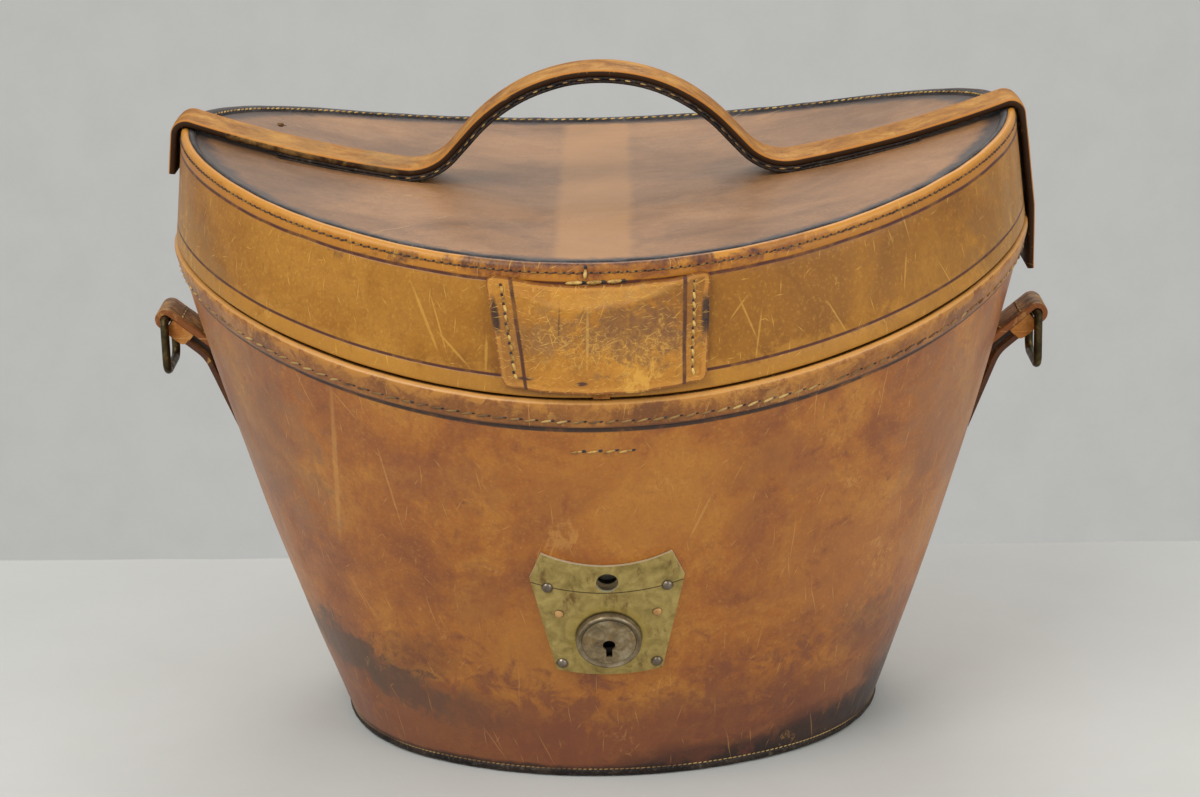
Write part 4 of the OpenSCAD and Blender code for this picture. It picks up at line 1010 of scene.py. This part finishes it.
def makeRingStrap(side):
    # local points are (along, height): along runs down the slope to the wall, height is above the ring bar's middle
    tilt, level = radians(ringStrap["slope"]), ringStrap["heights"][side]
    way = 1 if side == "right" else -1
    barX = boxShape["halfLength"] + wallGrow(level) + ringStrap["reach"]
    bore, far = ringStrap["bore"], ringStrap["bore"] + ringStrap["leather"]

    def ringPoint(u, w, y):
        return Vector((way * (barX - u * cos(tilt) - w * sin(tilt)), y, level - u * sin(tilt) + w * cos(tilt)))

    def untilWall(w, u=10.0):           # where this height reaches the wall
        while True:
            point = ringPoint(u, w, 0)
            if abs(point.x) < boxShape["halfLength"] + wallGrow(point.z) - ringStrap["sunk"] or u > 60:
                return u
            u += 0.1

    def arc(radius, start, end, steps, u=0.0, w=0.0):
        turns = [radians(start + (end - start) * i / steps) for i in range(steps + 1)]
        return [(u + radius * cos(a), w + radius * sin(a)) for a in turns]

    def extrude(name, outline, half, material, replaces):
        inset = 0.45
        rows = []
        for y, tight in ((-half, inset), (inset - half, 0.0), (-half / 3, 0.0), (half / 3, 0.0), (half - inset, 0.0),
                (half, inset)):
            row = []
            for i, (u, w) in enumerate(outline):
                (ua, wa), (ub, wb) = outline[i - 1], outline[(i + 1) % len(outline)]
                inward = Vector((wa - wb, ub - ua)).normalized() * 0.3 * tight
                point = ringPoint(u + inward.x, w + inward.y, y)
                row.append((point + Vector((0, 0, uneven(point, 9, 0.12))), (half - abs(y),)))
            rows.append(row)
        finish(sweep(rows, closed=False, ends=True, keep=("edge",)), name, "case", material, [replaces], sharp=40)

    top = untilWall(far)
    outline = [(top, far), (top * 0.75, far + 0.2), (top * 0.5, far + 0.25), (top * 0.25, far + 0.1)]
    outline += arc(far, 90, 270, 18) + [(1.5, -far), (2.3, -far + 0.3), (2.3, -bore - 0.3), (1.5, -bore)]
    outline += arc(bore, 270, 90, 14) + [(untilWall(bore), bore)]
    extrude("ringStrap" + side.title(), outline, ringStrap["half"], ringStrapLeather, "ring_strap_" + side)

    start = ringStrap["fillerStart"]
    end, low = start + ringStrap["fillerLength"], bore - ringStrap["filler"] - 0.7
    outline = [(end, bore), (start, bore), (start, low + 2.2)] + arc(2.2, 190, 262, 5, start + 2.2, low + 2.2)
    outline += [((start + end) / 2, low - 0.25)] + arc(2.6, 278, 360, 6, end - 2.6, low + 2.6)
    extrude("ringFiller" + side.title(), outline, ringStrap["half"] - 0.2, rawLeather, "ring_filler_" + side)

    lap = ringStrap["lap"]
    path = walk([(lap,)] + ringStrap["tail"], 0.0, 1.5)
    face, back = -ringStrap["tailFace"], -ringStrap["tailFace"] - ringStrap["leather"]
    outer, inner = [[(end - lap + x - w * sin(h), z + w * cos(h)) for x, z, h in path] for w in (back, face)]
    extrude("ringTail" + side.title(), outer + inner[::-1], ringStrap["half"] - 0.1, ringTailLeather,
        "ring_tail_" + side)
    for name, u in (("Loop", 5.0), ("Wall", 15.5)):
        outward = ringPoint(u, far + 1, 0) - ringPoint(u, far, 0)
        seats = [(ringPoint(u, far + 0.25, y), Vector((0, 1, 0)), outward) for y in (-6, -2, 2, 6)]
        makeSeam("ringSeam" + side.title() + name, "case", dirtyThread, seats, (3.0, 0.9, 0.4), 0.55)


makeLockPlate()
makeBoss()
makeStuds("lockRivetHeads", lock["rivets"], lock["rivetRadius"], lock["rivetRise"], rivetSteel)
makeStuds("lockPinHeads", lock["pins"], lock["pinRadius"], lock["pinRise"], filedCopper)
print("lock is made")


stitch = {"unevenSlant": 8, "unevenLength": 0.25, "holeAway": 0.35, "holeDepth": 0.16, "holeLength": 1.2}


def makeSeam(name, body, material, seats, size, hole=0.45, slant=9.0):
    # a thread over the leather for each seat (point, along, outward), and at each of its ends a small black blob,
    # painted shade for the needle hole
    threads, holes, bead = bmesh.new(), bmesh.new(), bmesh.new()
    bmesh.ops.create_uvsphere(bead, u_segments=6, v_segments=5, radius=1)
    shape = bpy.data.meshes.new("bead")
    bead.to_mesh(shape)
    bead.free()
    unit = [0.0] * (3 * len(shape.vertices))
    shape.vertices.foreach_get("co", unit)
    length, width, height = size
    for point, along, outward in seats:
        along = along.normalized()
        across = outward.cross(along).normalized()
        outward = along.cross(across)
        tip = radians(slant + stitch["unevenSlant"] * noise.noise(point * 0.7))
        along, across = along * cos(tip) + across * sin(tip), across * cos(tip) - along * sin(tip)
        scale = 1 + stitch["unevenLength"] * noise.noise(point * 0.37)
        end = point + along * (length / 2 + stitch["holeAway"])
        for mesh, centre, reach in ((threads, point, (width / 2, height, length / 2 * scale)),
                                    (holes, end, (hole, stitch["holeDepth"], hole * stitch["holeLength"]))):
            place = Matrix((across, outward, along)).transposed().to_4x4() @ Matrix.Diagonal((*reach, 1))
            place.translation = centre
            shape.vertices.foreach_set("co", unit)
            shape.transform(Matrix.Scale(mm, 4) @ place)
            mesh.from_mesh(shape)
    bpy.data.meshes.remove(shape)
    finish(threads, name, body, material, sharp=180)
    # black blobs standing in for the needle holes, painted shade
    finish(holes, name + "Holes", body, blackLeather, sharp=180)


def seatsOf(points, lifted):           # seats from a run of points and the same points lifted off the surface
    return [(here, after - before, up - here)
            for before, here, after, up in zip(points, points[1:], points[2:], lifted[1:])]


def loopSeats(pitch, place, keep=None):
    turns = evenTurns(int(boxShape["seamLength"] / pitch))
    turns = turns[-1:] + turns + turns[:1]
    seats = seatsOf([place(turn, 0) for turn in turns], [place(turn, 1) for turn in turns])
    return [seat for seat in seats if keep is None or keep(seat[0])]


makeSeam("rimSeam", "case", dirtyThread, loopSeats(5.9, lambda turn, up: rimAt(turn, 8.4, 1.25 + up)),
    (4.4, 1.0, 0.4), 0.7, slant=12)
makeSeam("lidSeam", "lid", darkThread, loopSeats(2.9, lambda turn, up: lidHighAt(turn, 3.4, 0.02 + up)),
    (2.3, 0.75, 0.3), 0.45)
makeSeam("farEdgeSeam", "lid", paleThread,
    loopSeats(3.4, lambda turn, up: lidHighAt(turn, 0.1 - up * 0.7, -5.3 - up * 0.7), lambda point: point.y > 20),
    (2.5, 0.8, 0.4), 0.3)
makeSeam("baseSeam", "case", dirtyThread, loopSeats(2.9, lambda turn, up: weltAt(turn, 0.85, up)), (1.9, 0.65, 0.3),
    0.35)


def lineSeats(count, place):
    steps = [i / (count - 1) for i in range(-1, count + 1)]
    return seatsOf([place(t, 0) for t in steps], [place(t, 1) for t in steps])


for side, name in ((-1, "tabSeamLeft"), (1, "tabSeamRight")):
    makeSeam(name, "lid", paleThread,
        lineSeats(10, lambda t, up: tabPlace(0.5 + 0.43 * side, 0.1 + 0.79 * t, frontTab["leather"] + 0.08 + up)[0]),
        (2.6, 1.25, 0.5), 0.55, slant=14)
makeSeam("looseSeam", "case", paleThread, lineSeats(4, lambda t, up: wallFront(-9.8 + 18.0 * t, 148.0, 0.1 + up)),
    (5.0, 0.95, 0.45), 0.7)
makeSeam("tabThreads", "lid", paleThread,
    lineSeats(3, lambda t, up: lidFront(-8.8 + 14.4 * t, 42.3 + 0.3 * t, 0.35 + up)), (6.0, 1.7, 0.85), 0.7, slant=2)
makeSeam("tabKnot", "lid", paleThread, [(lidHighAt(-1.5935, 3.6, 0.4), Vector((0.1, 0, 1)), Vector((0, -1, 0)))],
    (4.6, 1.5, 0.8), 0.7, 2)
makeSeam("gripKnot", "lid", darkThread,
    [(Vector((-127.5, 12.4, 242.0)), Vector((1, 0.2, -0.3)), Vector((0, 0.3, 1)))], (3.2, 2.0, 0.9), 0.5, 0)
for side, name in ((-1, "handleSeamFront"), (1, "handleSeamBack")):
    seats, spaced, level = [], 0.0, handleShape["seamLevel"]
    for (x0, z0, h0), (x1, z1, h1) in zip(handleLine, handleLine[1:]):
        spaced += sqrt((x1 - x0) ** 2 + (z1 - z0) ** 2)
        if spaced < handleShape["seamPitch"] or abs(x1) > handleShape["seamHalf"]:
            continue
        spaced = 0.0
        point = Vector((x1 - level * sin(h1), side * (handleHalfWidth - 0.15), z1 + level * cos(h1)))
        seats.append((point, Vector((cos(h1), 0, sin(h1))), Vector((0, side, 0))))
    makeSeam(name, "lid", dirtyThread, seats, (2.6, 0.7, 0.45), 0.35, slant=0)
for body, name, stretch in (("case", "hingeSeamCase", 1), ("lid", "hingeSeamLid", -0.82)):
    seats = []
    for x in (-28.5, 28.5):
        for drop in [(7 + 3.6 * t) * stretch for t in range(8)]:
            low, high = [wallFront(x, rimHeight(x) - drop, out, 1) if body == "case" else lidFront(x, -drop, out, 1)
                         for out in (2.75, 3.75)]
            seats.append((low, Vector((0, 0.1, 1)), high - low))
    makeSeam(name, body, paleThread, seats, (2.4, 0.8, 0.35), 0.4)
makeRingStrap("left")
makeRingStrap("right")
print("stitches are made")

cadFinish = [(bodyLeather, "base_board"), (liningCloth, "base_pad_lining"), (liningCloth, "body_lining"),
    (liningCloth, "lid_lining"), (liningCloth, "lid_top_lining"), (innerLeather, "rim_lining_band"),
    (innerLeather, "inner_lip"), (strapLeather, "seam_strip"), (bronzedWire, "ring_left"),
    (bronzedWire, "ring_right"), (blackIronHoleShade, "lock_case"), (dullSteel, "lock_cover"), (dullSteel, "lock_rivets"),
    (filedCopper, "lock_pins"), (plugSteel, "lock_plug"), (boltSteelHighlight, "lock_bolt")]
for material, nodeName in cadFinish:
    slots = cadNodes[nodeName].data.materials
    if not slots:
        slots.append(None)
    for i in range(len(slots)):
        slots[i] = material

# metres and watts
studio = {"floor": "#c8c9c5", "clothWidth": 5, "clothDepth": 2.6, "floorBack": 0.169, "edgeSlant": 0.043,
    "edgeWaves": 0.003, "edgeStep": 0.012, "backdrop": "#dfdfdd", "sheetSize": 7, "sheetBack": 3.4,
    "world": 0.64, "key": 19.5, "fill": 10.0, "rimLight": 11.5}


def stageMaterial(name, colour, tint):
    # matt paper or cloth with a faint unevenness
    s = Surface(name, Roughness=0.9)
    shade = s.tint(fromHex(colour), s.span(s.cloud(s.where, 90, 6.0, 0.65), 0.40, 0.65, 0.0, 0.25), tint)
    return s.done(shade, s.cloud(s.where, 35, 5.0, 0.6), 0.12, 3)


def makeStage():
    floor = bmesh.new()
    bmesh.ops.create_grid(floor, x_segments=160, y_segments=40, size=0.5)
    for vert in floor.verts:
        x, t = vert.co.x * studio["clothWidth"], vert.co.y + 0.5
        waves = studio["edgeWaves"] * noise.noise(Vector((x * 14, 0, 3)))
        step = studio["edgeStep"] * min(1, max(0, (x - 0.118) / 0.03))
        edge = studio["floorBack"] - studio["edgeSlant"] * x + waves + step
        vert.co = (x, edge - (1 - t) ** 2 * studio["clothDepth"], -0.4 * max(0, t - 0.985) - 0.0001)
    backdrop = bmesh.new()
    place = Matrix.Translation((0, studio["sheetBack"], 0.5)) @ Matrix.Rotation(radians(90), 4, "X")
    bmesh.ops.create_grid(backdrop, x_segments=1, y_segments=1, size=studio["sheetSize"], matrix=place)
    for mesh, name, colour, tint in ((floor, "floorCloth", studio["floor"], "#bdbdb6"),
                                     (backdrop, "backdropSheet", studio["backdrop"], "#d0d0ce")):
        sheet = finish(mesh, name, None, stageMaterial(name + "Cotton", colour, tint))


def addLamp(name, place, target, size, power):
    data = bpy.data.lights.new(name, "AREA")
    data.energy = power
    data.size = size
    lamp = bpy.data.objects.new(name, data)
    bpy.context.scene.collection.objects.link(lamp)
    lamp.location = place
    lamp.rotation_euler = (Vector(target) - Vector(place)).to_track_quat("-Z", "Y").to_euler()


photoCamera = {"distance": 1.18615, "target": (-0.002147, 0, 0.12773), "lens": 87.16, "sensor": 36,
               "height": 16.611, "yaw": 0.635, "roll": -1.561}      # metres, millimetres for the lens, degrees


def makeCamera():
    height, yaw, roll = [radians(photoCamera[key]) for key in ("height", "yaw", "roll")]
    back = Vector((sin(yaw) * cos(height), -cos(yaw) * cos(height), sin(height)))
    side = Vector((cos(yaw), sin(yaw), 0))
    up = back.cross(side)
    turn = Matrix((cos(roll) * side + sin(roll) * up, cos(roll) * up - sin(roll) * side, back)).transposed().to_4x4()
    data = bpy.data.cameras.new("photoCamera")
    data.sensor_width, data.lens = photoCamera["sensor"], photoCamera["lens"]
    camera = bpy.data.objects.new("photoCamera", data)
    bpy.context.scene.collection.objects.link(camera)
    camera.matrix_world = Matrix.Translation(Vector(photoCamera["target"]) + back * photoCamera["distance"]) @ turn
    bpy.context.scene.camera = camera


makeStage()
addLamp("keyLamp", (-0.9, -1.1, 1.5), (0, 0, 0.12), 1.2, studio["key"])
addLamp("fillLamp", (1.3, -1.0, 0.9), (0, 0, 0.12), 1.2, studio["fill"])
addLamp("backLamp", (0.2, 1.2, 1.6), (0, 0, 0.2), 1.0, studio["rimLight"])
makeCamera()
scene = bpy.context.scene
scene.view_settings.view_transform = "Standard"
world = bpy.data.worlds.new("studioWorld")
world.use_nodes = True
world.node_tree.nodes["Background"].inputs[0].default_value = fromHex("#f4f4f2")
world.node_tree.nodes["Background"].inputs[1].default_value = studio["world"]
scene.world = world
print("stage, lights and camera are set")
